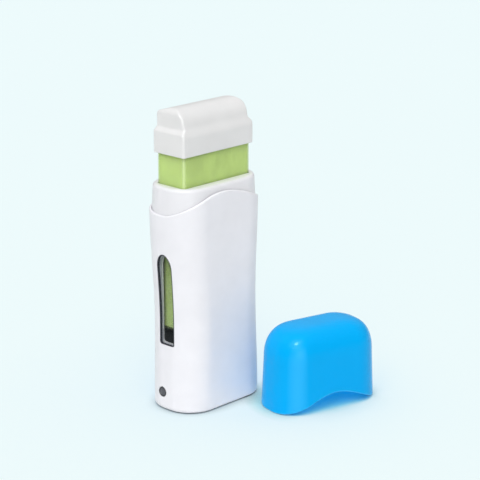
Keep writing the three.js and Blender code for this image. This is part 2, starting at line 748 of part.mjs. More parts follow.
function chamberLiner() {
  const top = RIM_Z - DECK_T - SEAT_GAP;
  const outer = outline(CHAMBER_OUT, CHAMBER_OUT_CORNER, BOX_STEPS);
  const inner = outline(CHAMBER_IN, CHAMBER_IN_CORNER, BOX_STEPS);
  const well = gridSolid([
    ringAt(outer, CHAMBER_BOTTOM_Z),
    ringAt(outer, top),
    ringAt(inner, top),
    ringAt(inner, CHAMBER_FLOOR_Z),
  ]);
  const half = APERTURE_W / 2;
  const z0 = HEATER_Z - APERTURE_H / 2;
  const through = block(-half, half, -BODY_D / 2, BODY_D / 2, z0, z0 + APERTURE_H);
  const sight = windowPrism(0, -BODY_W / 2, -CART_W / 4);
  const gripHalfW = GRIP_W / 2 + GAP;
  const gripHalfH = GRIP_H * GRIP_SLOT_SHARE;
  const gripZs = [GRIP_Z - gripHalfH, GRIP_Z + gripHalfH];
  const grip = block(CART_W / 4, BODY_W / 2, -gripHalfW, gripHalfW, ...gripZs);
  return cut(well, through, sight, grip);
}

// A piece on one wide side: side is -1 at the front and 1 at the back.
function sideBlock(side, halfX, y0, y1, z0, z1) {
  return side > 0 ? block(-halfX, halfX, y0, y1, z0, z1) : block(-halfX, halfX, -y1, -y0, z0, z1);
}

function heaterPlate(side) {
  const half = APERTURE_H / 2 + PLATE_LAP;
  return sideBlock(
    side, APERTURE_W / 2 + PLATE_LAP, PLATE_Y, PLATE_Y + PLATE_T, HEATER_Z - half, HEATER_Z + half);
}

function ptcHeater(side) {
  return sideBlock(side, PTC_W / 2, PTC_Y, PTC_Y + PTC_T, HEATER_Z - PTC_H / 2, HEATER_Z + PTC_H / 2);
}

// A strip bent along z: its middle bears at level low and its ends at level high. The strip's
// levels follow a raised cosine. place turns [level, across, z] into a point.
function leafSpring(low, high, width, height, z, place) {
  const levels = [];
  for (let k = 0; k <= LEAF_STEPS; k += 1) {
    const t = k / LEAF_STEPS;
    levels.push([low + ((high - low) * (1 + Math.cos(2 * Math.PI * t))) / 2, z + height * (t - 0.5)]);
  }
  const rings = levels.map(([level, at]) => [
    place(level, -width / 2, at),
    place(level + SPRING_T, -width / 2, at),
    place(level + SPRING_T, width / 2, at),
    place(level, width / 2, at),
  ]);
  return gridSolid(rings);
}

function heaterSpring(side) {
  const low = SPRING_Y0;
  const high = SPRING_Y1 - SPRING_T;
  const place = (level, across, z) => [-side * across, side * level, z];
  return leafSpring(low, high, SPRING_W, SPRING_H, HEATER_Z, place);
}

function gripSpring() {
  const low = CART_W / 2 + GAP;
  const high = CHAMBER_OUT.x1 + GAP;
  return leafSpring(low, high, GRIP_W, GRIP_H, GRIP_Z, (level, across, z) => [level, across, z]);
}

function thermalFuse() {
  const y = PLATE_Y + PLATE_T + GAP + FUSE_R;
  return rodX(FUSE_R, y, HEATER_Z + FUSE_RISE, -FUSE_L / 2, FUSE_L / 2, SMALL_SIDES);
}

// Electrics in the base

function circuitBoard() {
  return block(BOARD_X0, BOARD_X0 + BOARD_L, -BOARD_W / 2, BOARD_W / 2, BOARD_Z, BOARD_Z + BOARD_T);
}

function ledResistor() {
  const z = BOARD_Z + BOARD_T + GAP + RESISTOR_R;
  const profile = [
    [0, 0],
    [RESISTOR_R, 0],
    [RESISTOR_R, RESISTOR_END],
    [RESISTOR_WAIST_R, RESISTOR_END + RESISTOR_TAPER],
    [RESISTOR_WAIST_R, RESISTOR_L - RESISTOR_END - RESISTOR_TAPER],
    [RESISTOR_R, RESISTOR_L - RESISTOR_END],
    [RESISTOR_R, RESISTOR_L],
    [0, RESISTOR_L],
  ];
  const points = profile.map(([r, along]) => new THREE.Vector2(r, along));
  const turned = new THREE.LatheGeometry(points, SMALL_SIDES).rotateZ(-Math.PI / 2);
  return turned.translate(BOARD_X0 + BOARD_POST_INSET, -BOARD_W / 4, z);
}

function powerInlet() {
  const housing = slotPrism(INLET_W, INLET_H, INLET_Z, INLET_X0, INLET_X1);
  const mouthW = INLET_W - 2 * INLET_WALL;
  const mouthH = INLET_H - 2 * INLET_WALL;
  const mouth = slotPrism(mouthW, mouthH, INLET_Z, INLET_X1 - INLET_DEPTH, INLET_X1 + OVERRUN);
  const holeX0 = INLET_X0 - OVERRUN;
  const holes = pinYs().map((y) => rodX(PIN_R + GAP, y, INLET_Z, holeX0, INLET_X1, SMALL_SIDES));
  return cut(housing, mouth, ...holes);
}

function pinYs() {
  return [-PIN_SPACING / 2, PIN_SPACING / 2];
}

function inletPin(y) {
  const tip = INLET_X1 - INLET_DEPTH + PIN_STANDOUT;
  return rodX(PIN_R, y, INLET_Z, INLET_X0 - PIN_TAIL, tip, SMALL_SIDES);
}

// From the back of a pin down on to the board's end.
function supplyWire(y) {
  const endZ = BOARD_Z + BOARD_T + GAP + WIRE_R;
  const start = INLET_X0 - PIN_TAIL - GAP;
  return wire([
    [start, y, INLET_Z],
    [start - WIRE_STRAIGHT, y, INLET_Z + WIRE_R / 2],
    [start - 2 * WIRE_STRAIGHT, y, endZ + WIRE_R / 2],
    [BOARD_X0 + BOARD_L - WIRE_LAP, y, endZ],
  ]);
}

// From the board up between the chamber and the casing to a heater's lower edge.
function heaterWire(side, x) {
  const y = side * (PTC_Y + PTC_T / 2);
  return wire([
    [x, side * (BOARD_W / 4), BOARD_Z + BOARD_T + GAP + WIRE_R],
    [x + WIRE_R, side * (BOARD_W / 2 + WIRE_R), BOARD_Z + BOARD_T + WIRE_LAP],
    [x + WIRE_R, y, CHAMBER_BOTTOM_Z + WIRE_R],
    [x, y, HEATER_Z - PTC_H / 2 - HEATER_WIRE_UP],
    [x, y, HEATER_Z - PTC_H / 2 - GAP],
  ]);
}

// Cartridge

function cartridgeBottle() {
  const outer = (z, inset) => {
    const points = outline(grown(box(CART_W / 2, CART_D / 2), -inset), CART_CORNER - inset, BOX_STEPS);
    return ringAt(points, z);
  };
  const innerCorner = CART_CORNER - CART_WALL;
  const innerPoints = outline(cartridgeInside(0), innerCorner, BOX_STEPS);
  return gridSolid([
    outer(CART_BOTTOM_Z, CART_FOOT_ROUND),
    outer(CART_BOTTOM_Z + CART_FOOT_ROUND * 0.3, CART_FOOT_ROUND * 0.3),
    outer(CART_BOTTOM_Z + CART_FOOT_ROUND, 0),
    outer(CART_TOP_Z, 0),
    ringAt(innerPoints, CART_TOP_Z),
    ringAt(innerPoints, CART_BOTTOM_Z + CART_WALL),
  ]);
}

function cartridgeInside(clearance) {
  return box(CART_W / 2 - CART_WALL - clearance, CART_D / 2 - CART_WALL - clearance);
}

function waxFill() {
  const top = CART_TOP_Z - HEAD_PLUG_H - SEAT_GAP;
  return prism(cartridgeInside(GAP), CART_CORNER - CART_WALL, CART_BOTTOM_Z + CART_WALL + SEAT_GAP, top);
}

function rollerHead() {
  const blockZ1 = FLANGE_Z + HEAD_FLANGE_T + HEAD_BLOCK_H;
  const plugZ0 = CART_TOP_Z - HEAD_PLUG_H;
  const plug = prism(cartridgeInside(GAP), CART_CORNER - CART_WALL, plugZ0, FLANGE_Z + HEAD_FLANGE_T / 2);
  const flange = prism(box(CART_W / 2, CART_D / 2), CART_CORNER, FLANGE_Z, FLANGE_Z + HEAD_FLANGE_T);
  const body = prism(HEAD_HALF, HEAD_BLOCK_CORNER, FLANGE_Z + HEAD_FLANGE_T / 2, blockZ1);
  const outX = HEAD_HALF.x1;
  const cheeks = [-1, 1].map((side) => {
    const xs = [side * CHEEK_IN_X, side * outX].sort((a, b) => a - b);
    const tab = block(...xs, -CHEEK_R, CHEEK_R, blockZ1 - CHEEK_ROOT, ROLLER_Z);
    return joined(tab, rodX(CHEEK_R, 0, ROLLER_Z, ...xs));
  });
  const pocketR = ROLLER_R + ROLLER_POCKET_GAP;
  const pocket = rodX(pocketR, 0, ROLLER_Z, -CHEEK_IN_X, CHEEK_IN_X, DRUM_SIDES);
  const openTop = ROLLER_Z + pocketR + OVERRUN;
  const between = block(-CHEEK_IN_X, CHEEK_IN_X, -pocketR, pocketR, ROLLER_Z, openTop);
  const bearing = rodX(TRUNNION_R + GAP, 0, ROLLER_Z, -outX - OVERRUN, outX + OVERRUN, SMALL_SIDES);
  const slotX = HEAD_HALF.x1 - WAX_SLOT_END_IN;
  const slot = block(-slotX, slotX, -WAX_SLOT_W / 2, WAX_SLOT_W / 2, plugZ0 - OVERRUN, ROLLER_Z);
  return cut(joined(plug, flange, body, ...cheeks), pocket, between, bearing, slot);
}

function waxRoller() {
  const half = CHEEK_IN_X - GAP;
  const drum = rodX(ROLLER_R, 0, ROLLER_Z, -half, half, DRUM_SIDES);
  const stub = HEAD_HALF.x1 - GAP;
  return joined(drum, rodX(TRUNNION_R, 0, ROLLER_Z, -stub, stub, SMALL_SIDES));
}

// How far a quarter ellipse has drawn in, h below its top. It runs in by run and rises by rise.
function ellipseIn(run, rise, h) {
  if (h >= rise) {
    return 0;
  }
  return run * (1 - Math.sqrt(1 - ((rise - h) / rise) ** 2));
}

// One ring of the cap's surface, set in by the wall thickness, h below the crest. Above the
// skirt it steps in along half a cosine. The front rises to the crest on a quarter ellipse.
// Behind it a parabola falls to a rounded back edge.
function capRing(h, wall) {
  const z = CAP_TOP_Z - wall - h;
  const stepZ = CAP_BOTTOM_Z + CAP_SKIRT_H - wall / 2;
  const t = THREE.MathUtils.clamp((z - stepZ) / CAP_STEP_H, 0, 1);
  const step = (1 - Math.cos(Math.PI * t)) / 2;
  const b = grown(CAP_HALF, -wall);
  const endIn = CAP_END_IN * step + roundIn(CAP_END_ROUND - wall / 2, h);
  const backRound = CAP_BACK_ROUND - wall / 2;
  const backY = b.y1 - CAP_BACK_IN * step;
  let y1 = backY - roundIn(backRound, h - CAP_CROWN_DROP);
  if (h < CAP_CROWN_DROP) {
    y1 = CAP_CREST_Y + (backY - backRound - CAP_CREST_Y) * Math.sqrt(h / CAP_CROWN_DROP);
  }
  const frontY = b.y0 + CAP_FRONT_IN * step;
  const y0 = frontY + ellipseIn(CAP_CREST_Y - frontY, CAP_FRONT_RISE - wall, h);
  const corner = Math.min(CAP_CORNER - wall, (y1 - y0) * CAP_CORNER_SHARE);
  const ring = { x0: b.x0 + endIn, x1: b.x1 - endIn, y0, y1 };
  return ringAt(outline(ring, corner, BOX_STEPS), z);
}

function cartridgeCap() {
  const side = (wall) => {
    const crestZ = CAP_TOP_Z - wall;
    const stepH = crestZ - (CAP_BOTTOM_Z + CAP_SKIRT_H - wall / 2);
    const backRound = CAP_BACK_ROUND - wall / 2;
    const hs = [crestZ - CAP_BOTTOM_Z, CAP_CREST_CUT];
    hs.push(...[0, 1 / 3, 2 / 3, 1].map((t) => stepH - CAP_STEP_H * t));
    hs.push(...[1, 0.3, 0].map((share) => CAP_CROWN_DROP + backRound * share));
    hs.push(...[22, 40, 58, 70, 80].map((degrees) => {
      const sine = Math.sin(THREE.MathUtils.degToRad(degrees));
      return (CAP_FRONT_RISE - wall) * (1 - sine);
    }));
    return hs.sort((a, b) => b - a).map((h) => capRing(h, wall));
  };
  return gridSolid([...side(CAP_WALL).reverse(), ...side(0)]);
}

// Lid

// One ring of the lid's dome, at the share of its rise given by an angle. Both half-widths
// follow a superellipse of the height above the straight wall.
function domeRing(degrees, wall) {
  const rise = Math.sin(THREE.MathUtils.degToRad(degrees));
  const z0 = LID_H - LID_DOME_H;
  const left = 1 - rise ** LID_RISE_POWER;
  const halfX = (BODY_W / 2 - DRAFT * z0 - wall) * left ** (1 / LID_X_POWER);
  const halfY = (BODY_D / 2 - DRAFT * z0 - wall) * left ** (1 / LID_Y_POWER);
  const corner = ((BODY_CORNER - DRAFT * z0 - wall) * halfY) / (BODY_D / 2 - DRAFT * z0 - wall);
  return ringAt(outline(box(halfX, halfY), corner, BODY_STEPS), z0 + (LID_DOME_H - wall) * rise);
}

function lidWallRing(heightAt, wall) {
  return wave(LID_ARCH_H, LID_ARCH_POWER, 0).map((rise, j) => {
    const z = heightAt(rise);
    const inset = wall + DRAFT * z;
    const points = outline(neckBox(inset), BODY_CORNER - inset, BODY_STEPS);
    return [...points[j], z];
  });
}

function lid() {
  const z0 = LID_H - LID_DOME_H;
  const side = (wall) => {
    const rings = [lidWallRing((rise) => rise, wall), lidWallRing((rise) => (rise + z0) / 2, wall)];
    for (let k = 0; k < DOME_RINGS; k += 1) {
      rings.push(domeRing((90 * k) / DOME_RINGS, wall));
    }
    return rings;
  };
  const shell = gridSolid([...side(LID_WALL).reverse(), ...side(0)]);
  return shell.rotateZ(THREE.MathUtils.degToRad(LID_TURN)).translate(...LID_AT, 0);
}

// Assembly

const heater = new THREE.Group();

function add(name, geometry, colour) {
  const flat = geometry.index ? geometry.toNonIndexed() : geometry;
  flat.computeVertexNormals();
  const mesh = new THREE.Mesh(flat, new THREE.MeshStandardMaterial(COLOURS[colour]));
  mesh.name = name;
  heater.add(mesh);
}

add('body_shell', bodyShell(), 'white');
add('neck_collar', neckCollar(), 'neck');
add('window_lens', windowLens(), 'smoke');
add('indicator_lens', indicatorLens(), 'lamp');
add('indicator_led', indicatorLed(), 'red');
add('base_plate', basePlate(), 'white');
screwPlaces().forEach((place, i) => {
  add(`base_screw_${i + 1}`, baseScrew(place), 'steel');
});
add('chamber_liner', chamberLiner(), 'dark');
[['front', -1], ['back', 1]].forEach(([name, side]) => {
  add(`heater_plate_${name}`, heaterPlate(side), 'aluminium');
  add(`ptc_heater_${name}`, ptcHeater(side), 'ceramic');
  add(`heater_spring_${name}`, heaterSpring(side), 'steel');
});
add('thermal_fuse', thermalFuse(), 'steel');
add('grip_spring', gripSpring(), 'steel');
add('circuit_board', circuitBoard(), 'board');
add('led_resistor', ledResistor(), 'ceramic');
add('power_inlet', powerInlet(), 'dark');
['a', 'b'].forEach((name, i) => {
  add(`inlet_pin_${name}`, inletPin(pinYs()[i]), 'steel');
  add(`supply_wire_${name}`, supplyWire(pinYs()[i]), i === 0 ? 'wireBrown' : 'wireBlue');
});
add('heater_wire_front', heaterWire(-1, HEATER_WIRE_X), 'wireBrown');
add('heater_wire_back', heaterWire(1, HEATER_WIRE_X), 'wireBlue');
add('cartridge_bottle', cartridgeBottle(), 'clear');
add('wax_fill', waxFill(), 'wax');
add('roller_head', rollerHead(), 'cap');
add('wax_roller', waxRoller(), 'cap');
add('cartridge_cap', cartridgeCap(), 'cap');
add('lid', lid(), 'lid');

export default heater;
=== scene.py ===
"""A hand-held heater for a flat roll-on wax cartridge, with the cartridge drawn up and the lid
standing beside it.

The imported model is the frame. Finer pieces stand for the solids that are seen, the rest get
their finishes, and a pale floor, soft light and a camera make the studio. Sizes are in
millimetres and turn to metres where a mesh is made.
"""

import math

import bpy
import numpy as np
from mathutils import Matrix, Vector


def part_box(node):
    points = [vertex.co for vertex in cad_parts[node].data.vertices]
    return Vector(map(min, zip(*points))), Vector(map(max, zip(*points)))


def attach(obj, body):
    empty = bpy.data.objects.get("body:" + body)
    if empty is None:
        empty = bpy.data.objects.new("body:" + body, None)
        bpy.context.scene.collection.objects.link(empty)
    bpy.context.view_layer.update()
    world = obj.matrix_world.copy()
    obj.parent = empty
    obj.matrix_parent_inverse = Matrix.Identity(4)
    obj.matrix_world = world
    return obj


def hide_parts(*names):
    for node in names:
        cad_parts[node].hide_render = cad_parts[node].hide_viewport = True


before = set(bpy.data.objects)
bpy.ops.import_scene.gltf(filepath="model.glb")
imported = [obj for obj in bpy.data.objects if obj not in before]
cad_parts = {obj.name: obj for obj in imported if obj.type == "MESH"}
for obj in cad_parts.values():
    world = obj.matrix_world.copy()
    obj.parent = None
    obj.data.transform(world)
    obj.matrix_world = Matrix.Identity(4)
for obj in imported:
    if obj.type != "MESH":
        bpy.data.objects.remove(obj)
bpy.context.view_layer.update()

MM = 0.001
GAP = 0.3
CREASE = 35
# Where a small bevel's middle ring lies, as a share of the bevel
BEVEL_MIDDLE = 0.3
# How large the last ring before a pole is, as a share of the full ring
NEAR_POLE = 0.02

# Camera
CAMERA_AT = (-0.71499, -0.71658, 0.40251)
CAMERA_DOWN = 16.71
CAMERA_YAW = 46.13
CAMERA_FOCUS_PX = 1785.8
PICTURE_PX = 480
SENSOR = 36.0
CAMERA_CLIP = (0.02, 50)

# Casing
NARROW_FLAT = 5.0
CASE_WALL = 1.3
FOOT_ROUND = 2.0
FOOT_LIP = 2.2
FOOT_LIP_H = 1.5
SHOULDER_DROP = 16.3
FLARE_OVER = 3.1
WINDOW_SIDE = {"sign": -1, "waist": 3.297, "waist_z": 54.0, "foot": 2.4}
INLET_SIDE = {"sign": 1, "waist": 1.998, "waist_z": 66.0, "foot": 0.1}
SHELF_W = 1.2
SHELF_H = 3.0
SHELF_DROP = 2.9
EVEN_Z = 104.0
EDGE_ROUND = 0.95
WAVE = {"height": 12.3, "power": 0.9, "crest_x": -4.2, "behind_x": 15.0}
# Room for each hole in the grid: its half-width, its foot and its top
WINDOW_ROOM = (8.5, 38.0, 100.0)
LAMP_ROOM = (8.5, 5.0, 17.0)
INLET_ROOM = (10.6, 4.5, 19.5)
HOLE_SHARES = (0.3, 0.6, 0.85)
SLACK = 0.01

# Neck
DRAFT = 0.04
DECK_T = 1.6
RIM_ROUND = 2.0
SKIRT_T = 1.0
SKIRT_H = 13.0
MOUTH_BEVEL = 0.5
MOUTH_CORNER = 2.4
MOUTH_SPARE = 0.3

# Window and lamp
WINDOW_HALF_W = 6.0
WINDOW_Z = (40.8, 97.0)
WINDOW_ARCH_H = 8.5
WINDOW_CORNER = 1.4
WINDOW_LIP = 0.4
WINDOW_STEPS = 160
SEAL_W = 0.55
SEAL_SUNK = 0.12
SEAL_T = 1.5
SEAL_EASE = 0.05
SEAL_BEVEL = (0.15, 0.2)
PANE_SUNK = 0.3
PANE_T = 1.6
PANE_EASE = 0.04
PANE_BEVEL = 0.5
PANE_BEVEL_MIDDLE = 0.35
FRAME_T = 0.8
FRAME_EASE = 0.1
FRAME_BEHIND = 0.05
FRAME_END_X = -28.6
LAMP_YZ = (3.2, 11.0)
LAMP_R = 3.0
LAMP_HOLE_R = 3.15
LAMP_DEPTH = 3.0
LAMP_SUNK = 0.25
LAMP_CROWN = 0.49
LAMP_LIP = 0.25
LAMP_RIM_W = 0.75
LAMP_RIM_H = 0.3
LAMP_RING_W = 0.45

# Inlet
INLET_Z = 12.0
INLET_W = 16.4
INLET_H = 10.0
INLET_LIP = 0.4
INLET_WALL = 1.2
INLET_RIM = 0.35
INLET_BACK_BEVEL = 0.4
INLET_DEPTH = 12.0
PIN_TIP_ROUND = 0.8
PIN_TIP_TURNS = (70, 50, 25, 0)

# Cartridge, its roller and its cap
BOTTLE_WALL = 0.6
WAX_INSET = 0.65
PLUG_INSET = 1.4
BOTTLE_CORNER = 2.2
BOTTLE_FOOT_ROUND = 1.2
BOTTLE_RIM_ROUND = 0.3
BOTTLE_FLOOR_BEVEL = 0.4
BOTTLE_LEAST_CORNER = 0.2
BOTTLE_ROWS = 30
WAX_ROUND = 0.25
WAX_LEAST_CORNER = 0.5
WAX_FILM_DROP = 0.2
WAX_FOOT_ROW = 1.0
ROLLER_R = 5.5
CHEEK_T = 2.8
TRUNNION_R = 1.2
TRUNNION_BEVEL = 0.2
DRUM_ROUND = 0.6
CAP_WALL = 1.0
CAP_SKIRT_H = 12.2
CAP_STEP_H = 3.6
CAP_END_IN = 2.3
CAP_FRONT_IN = 2.2
CAP_FRONT_STEP_H = 8.0
CAP_BACK_IN = 0.5
CAP_CORNER = 1.6
CAP_CORNER_SHARE = 0.45
CAP_CREST_Y = -1.0
CAP_CROWN_DROP = 2.2
CAP_FRONT_RISE = 10.0
CAP_FRONT_POWER = 1.85
CAP_BACK_ROUND = 2.0
CAP_END_ROUND = 4.0
CAP_LIP = 0.25
CAP_CREST_ROWS = (0.06, 0.02)

# Lid
LID_WALL = 1.5
LID_CROWN = 0.6
LID_DOME_H = 20.6
LID_X_POWER = 5.0
LID_Y_POWER = 3.6
LID_RISE_POWER = 2.2
LID_ARCH = {"height": 10.5, "power": 1.6, "crest_x": 0.0, "behind_x": 0.0}
LID_LIP = 0.5
LID_SIDE_TURN = 66
LID_NEAR_POLE = 0.03
LID_ASIDE = 8.7
LID_AHEAD = 31.5
LID_TURN = -14.0


def span(node):
    """The lowest and the highest corner of a solid, in millimetres."""
    low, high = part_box(node)
    return np.array(low) / MM, np.array(high) / MM


CASE_LOW, CASE_HIGH = span("body_shell")
HALF_W = (CASE_HIGH[0] - CASE_LOW[0]) / 2
HALF_D = (CASE_HIGH[1] - CASE_LOW[1]) / 2
FOOT_Z = CASE_LOW[2]
CASE_CORNER = HALF_D - NARROW_FLAT / 2
RIM_Z = span("neck_collar")[1][2]
SHOULDER_Z = RIM_Z - SHOULDER_DROP
FLARE_TOP_Z = SHOULDER_Z + FLARE_OVER
SHELF_Z = SHOULDER_Z - SHELF_DROP
LEDGE = CASE_WALL + GAP
LID_H = span("lid")[1][2] + LID_CROWN
LID_AT = (HALF_W + LID_ASIDE, -HALF_D - LID_AHEAD)


# Meshes


def way_round(corner, narrow, wide):
    """The way round a rounded rectangle, anticlockwise from its front right corner, as four
    arrays: the place between the corner centres along x and y, from -1 to 1, and the outward
    normal. Each corner turns evenly through a quarter and each flat runs evenly to the next."""
    signs = [(1, -1), (1, 1), (-1, 1), (-1, -1)]
    parts = []
    for k, (along, across) in enumerate(signs):
        angle = np.radians(np.linspace(0, 90, corner + 1) + 90 * (k - 1))
        parts.append([along + 0 * angle, across + 0 * angle, np.cos(angle), np.sin(angle)])
        steps = narrow if k % 2 == 0 else wide
        share = np.arange(1, steps) / steps
        after = signs[(k + 1) % 4]
        parts.append([
            along + (after[0] - along) * share,
            across + (after[1] - across) * share,
            np.cos(angle[-1]) + 0 * share,
            np.sin(angle[-1]) + 0 * share,
        ])
    return np.concatenate(parts, axis=1)


def rounded_rings(way, x0, x1, y0, y1, corner, z):
    """Rounded rectangles, one for each row: every point stands off its corner's centre, or off
    the flat between two centres, by the corner's radius along its normal."""
    along, across, nx, ny = way
    x = (x0 + x1) / 2 + along * ((x1 - x0) / 2 - corner) + corner * nx
    y = (y0 + y1) / 2 + across * ((y1 - y0) / 2 - corner) + corner * ny
    return np.stack(np.broadcast_arrays(x, y, z), axis=-1)


def centred_rings(way, half_x, half_y, corner, z):
    """Rounded rectangles about the z axis, from their half-widths."""
    return rounded_rings(way, -half_x, half_x, -half_y, half_y, corner, z)


def column(*values):
    """Values as one column of rows."""
    return np.concatenate([np.atleast_1d(value) for value in values])[:, None]


def quads(rings, looped=False):
    """The faces of a grid of numbered points. Each face goes from one point to the next in its
    row and then to the row after, so that rings that run anticlockwise and rise face out. The
    last row of a looped grid joins its first."""
    low = rings if looped else rings[:-1]
    high = np.roll(rings, -1, axis=0) if looped else rings[1:]
    corners = [low, np.roll(low, -1, axis=1), np.roll(high, -1, axis=1), high]
    return np.stack(corners, -1).reshape(-1, 4)


def fan(ring, pole, upward):
    """Triangles from a ring to one point, facing up along the rings or down."""
    ahead = np.roll(ring, -1)
    order = [ring, ahead] if upward else [ahead, ring]
    return np.stack([*order, np.full_like(ring, pole)], -1)


def add(name, data):
    """Adds an object to the scene."""
    made = bpy.data.objects.new(name, data)
    bpy.context.scene.collection.objects.link(made)
    return made


def piece(name, shape, finish, body, slot, *stands_for):
    """Makes a mesh of a shape's points, in millimetres, and faces, and sets it down as a piece of
    the object. Smooth shading breaks at edges sharper than the crease angle."""
    points, faces = shape
    mesh = bpy.data.meshes.new(name)
    mesh.from_pydata((np.asarray(points) * MM).tolist(), [], [face.tolist() for face in faces])
    mesh.validate()
    mesh.shade_smooth()
    mesh.set_sharp_from_angle(angle=math.radians(CREASE))
    mesh.materials.append(finish)
    made = add(name, mesh)
    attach(made, body)
    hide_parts(*stands_for)
    return made


def mark(made, name, values):
    """Keeps a value at each point of a piece, under the name that its finish reads."""
    made.data.attributes.new(name, "FLOAT", "POINT").data.foreach_set("value", values)


def closed_rings(rings, looped=False):
    """Points and faces of a body made of rings. The last ring of a looped one joins its first,
    and otherwise the middles of the first and of the last ring close it."""
    rows, count = rings.shape[:2]
    numbers = np.arange(rows * count).reshape(rows, count)
    points = rings.reshape(-1, 3)
    faces = list(quads(numbers, looped))
    if not looped:
        points = np.concatenate([points, [rings[0].mean(0)], [rings[-1].mean(0)]])
        faces += list(fan(numbers[0], rows * count, False))
        faces += list(fan(numbers[-1], rows * count + 1, True))
    return points, faces


def turned(x, radius, place, sides):
    """A body turned about x: a profile of x and radius goes round a full circle about the line
    through place. It starts and ends on the line and runs from the highest x to the lowest."""
    angle = np.linspace(0, 2 * math.pi, sides, endpoint=False)
    along = np.array(x)[1:-1, None]
    out = np.array(radius)[1:-1, None]
    y = place[0] + out * np.cos(angle)
    z = place[1] + out * np.sin(angle)
    points, faces = closed_rings(np.stack(np.broadcast_arrays(along, y, z), -1))
    points[-2:, 0] = x[0], x[-1]
    return points, faces


def quarter(radius, steps=5):
    """How far a quarter round has drawn in, and how far it has still to rise, at even angles from
    its side to its top."""
    angle = np.linspace(0, math.pi / 2, steps)
    return radius * (1 - np.cos(angle)), radius * (1 - np.sin(angle))


# Surface of the casing


def side_in(side, z):
    """How far a narrow side lies inside the shoulder's width at height z. It draws in from the
    flare to the waist along half a cosine and opens towards the foot along another."""
    upper = np.clip((FLARE_TOP_Z - z) / (FLARE_TOP_Z - side["waist_z"]), 0, 1)
    lower = np.clip((side["waist_z"] - z) / (side["waist_z"] - FOOT_Z), 0, 1)
    above = side["waist"] * (1 - np.cos(np.pi * upper)) / 2
    below = (side["foot"] - side["waist"]) * (1 - np.cos(np.pi * lower)) / 2
    return above + below


def case_rings(z, inset):
    """Rings of the casing's surface at heights z, set in by inset."""
    x0 = -HALF_W + side_in(WINDOW_SIDE, z) + inset
    x1 = HALF_W - side_in(INLET_SIDE, z) - inset
    corner = CASE_CORNER - inset
    return rounded_rings(CASE_WAY, x0, x1, inset - HALF_D, HALF_D - inset, corner, z)


def side_x(side, y, z, inset):
    """The x of a narrow side at y and z: flat in its middle, then an arc of the corner's radius
    that falls back by its sagitta."""
    radius = CASE_CORNER - inset
    across = np.clip(np.abs(y) - NARROW_FLAT / 2, 0, radius)
    fall = radius - np.sqrt(radius**2 - across**2)
    return side["sign"] * (HALF_W - side_in(side, z) - inset - fall)


def wave_rise(way, height, power, crest_x, behind_x):
    """How high a wavy edge stands above its lowest point, for each place round the casing. It is
    a raised cosine of the way from the middle of a wide face to the middle of a narrow one, to a
    power, and leans so that its crest lies towards crest_x in front and behind_x behind."""
    along, across, nx, ny = way
    flat_x = HALF_W - CASE_CORNER
    flat_y = NARROW_FLAT / 2
    length = flat_x + CASE_CORNER * math.pi / 2 + flat_y
    x = along * flat_x + CASE_CORNER * nx
    turn = np.arctan2(np.abs(nx), np.abs(ny))
    on_side = np.where(np.abs(nx) > 1 - 1e-9, flat_y - np.abs(across) * flat_y, 0)
    reach = np.where(np.abs(ny) > 1 - 1e-9, np.abs(x), flat_x + CASE_CORNER * turn + on_side)
    share = np.sign(x) * reach / length
    behind = (ny > 1e-9) | ((np.abs(ny) < 1e-9) & (across > 0))
    lean = np.where(behind, behind_x, crest_x) / length
    leant = share - lean * (1 - share**2)
    return height * ((1 + np.cos(np.pi * leant)) / 2) ** power


CASE_WAY = way_round(24, 6, 26)
CASE_RISE = wave_rise(CASE_WAY, **WAVE)
CASE_EDGE_Z = SHOULDER_Z + CASE_RISE


def window_outline(spread, count=2400):
    """The window's outline as y and z, grown by spread: half an ellipse on top, straight sides
    and rounded lower corners."""
    half = WINDOW_HALF_W + spread
    corner = WINDOW_CORNER
    low = WINDOW_Z[0] - spread
    spring = WINDOW_Z[1] - WINDOW_ARCH_H
    arch = np.linspace(0, math.pi, count // 3)
    left = np.linspace(math.pi, 1.5 * math.pi, count // 12)
    right = np.linspace(1.5 * math.pi, 2 * math.pi, count // 12)
    straight = np.linspace(spring, low + corner, count // 4)[1:-1]
    sill = np.linspace(-half + corner, half - corner, count // 12)[1:-1]
    return np.concatenate([
        (half * np.cos(arch), spring + (WINDOW_ARCH_H + spread) * np.sin(arch)),
        (-half + 0 * straight, straight),
        (-half + corner * (1 + np.cos(left)), low + corner * (1 + np.sin(left))),
        (sill, low + 0 * sill),
        (half - corner * (1 - np.cos(right)), low + corner * (1 + np.sin(right))),
        (half + 0 * straight, straight[::-1]),
    ], axis=1)


def lamp_outline(spread, count=720):
    """The lamp's hole as y and z: a circle grown by spread."""
    angle = np.linspace(0, 2 * math.pi, count, endpoint=False)
    radius = LAMP_HOLE_R + spread
    return LAMP_YZ[0] + radius * np.cos(angle), LAMP_YZ[1] + radius * np.sin(angle)


def slot_outline(half_w, half_h, count=720):
    """A slot with half-round ends as y and z about the inlet's middle height."""
    angle = np.linspace(0, 2 * math.pi, count, endpoint=False)
    y = np.sign(np.cos(angle)) * (half_w - half_h) + half_h * np.cos(angle)
    return y, INLET_Z + half_h * np.sin(angle)


def inlet_outline(spread):
    """The inlet's hole in the casing, grown by spread."""
    return slot_outline(INLET_W / 2 + GAP + spread, INLET_H / 2 + GAP + spread)


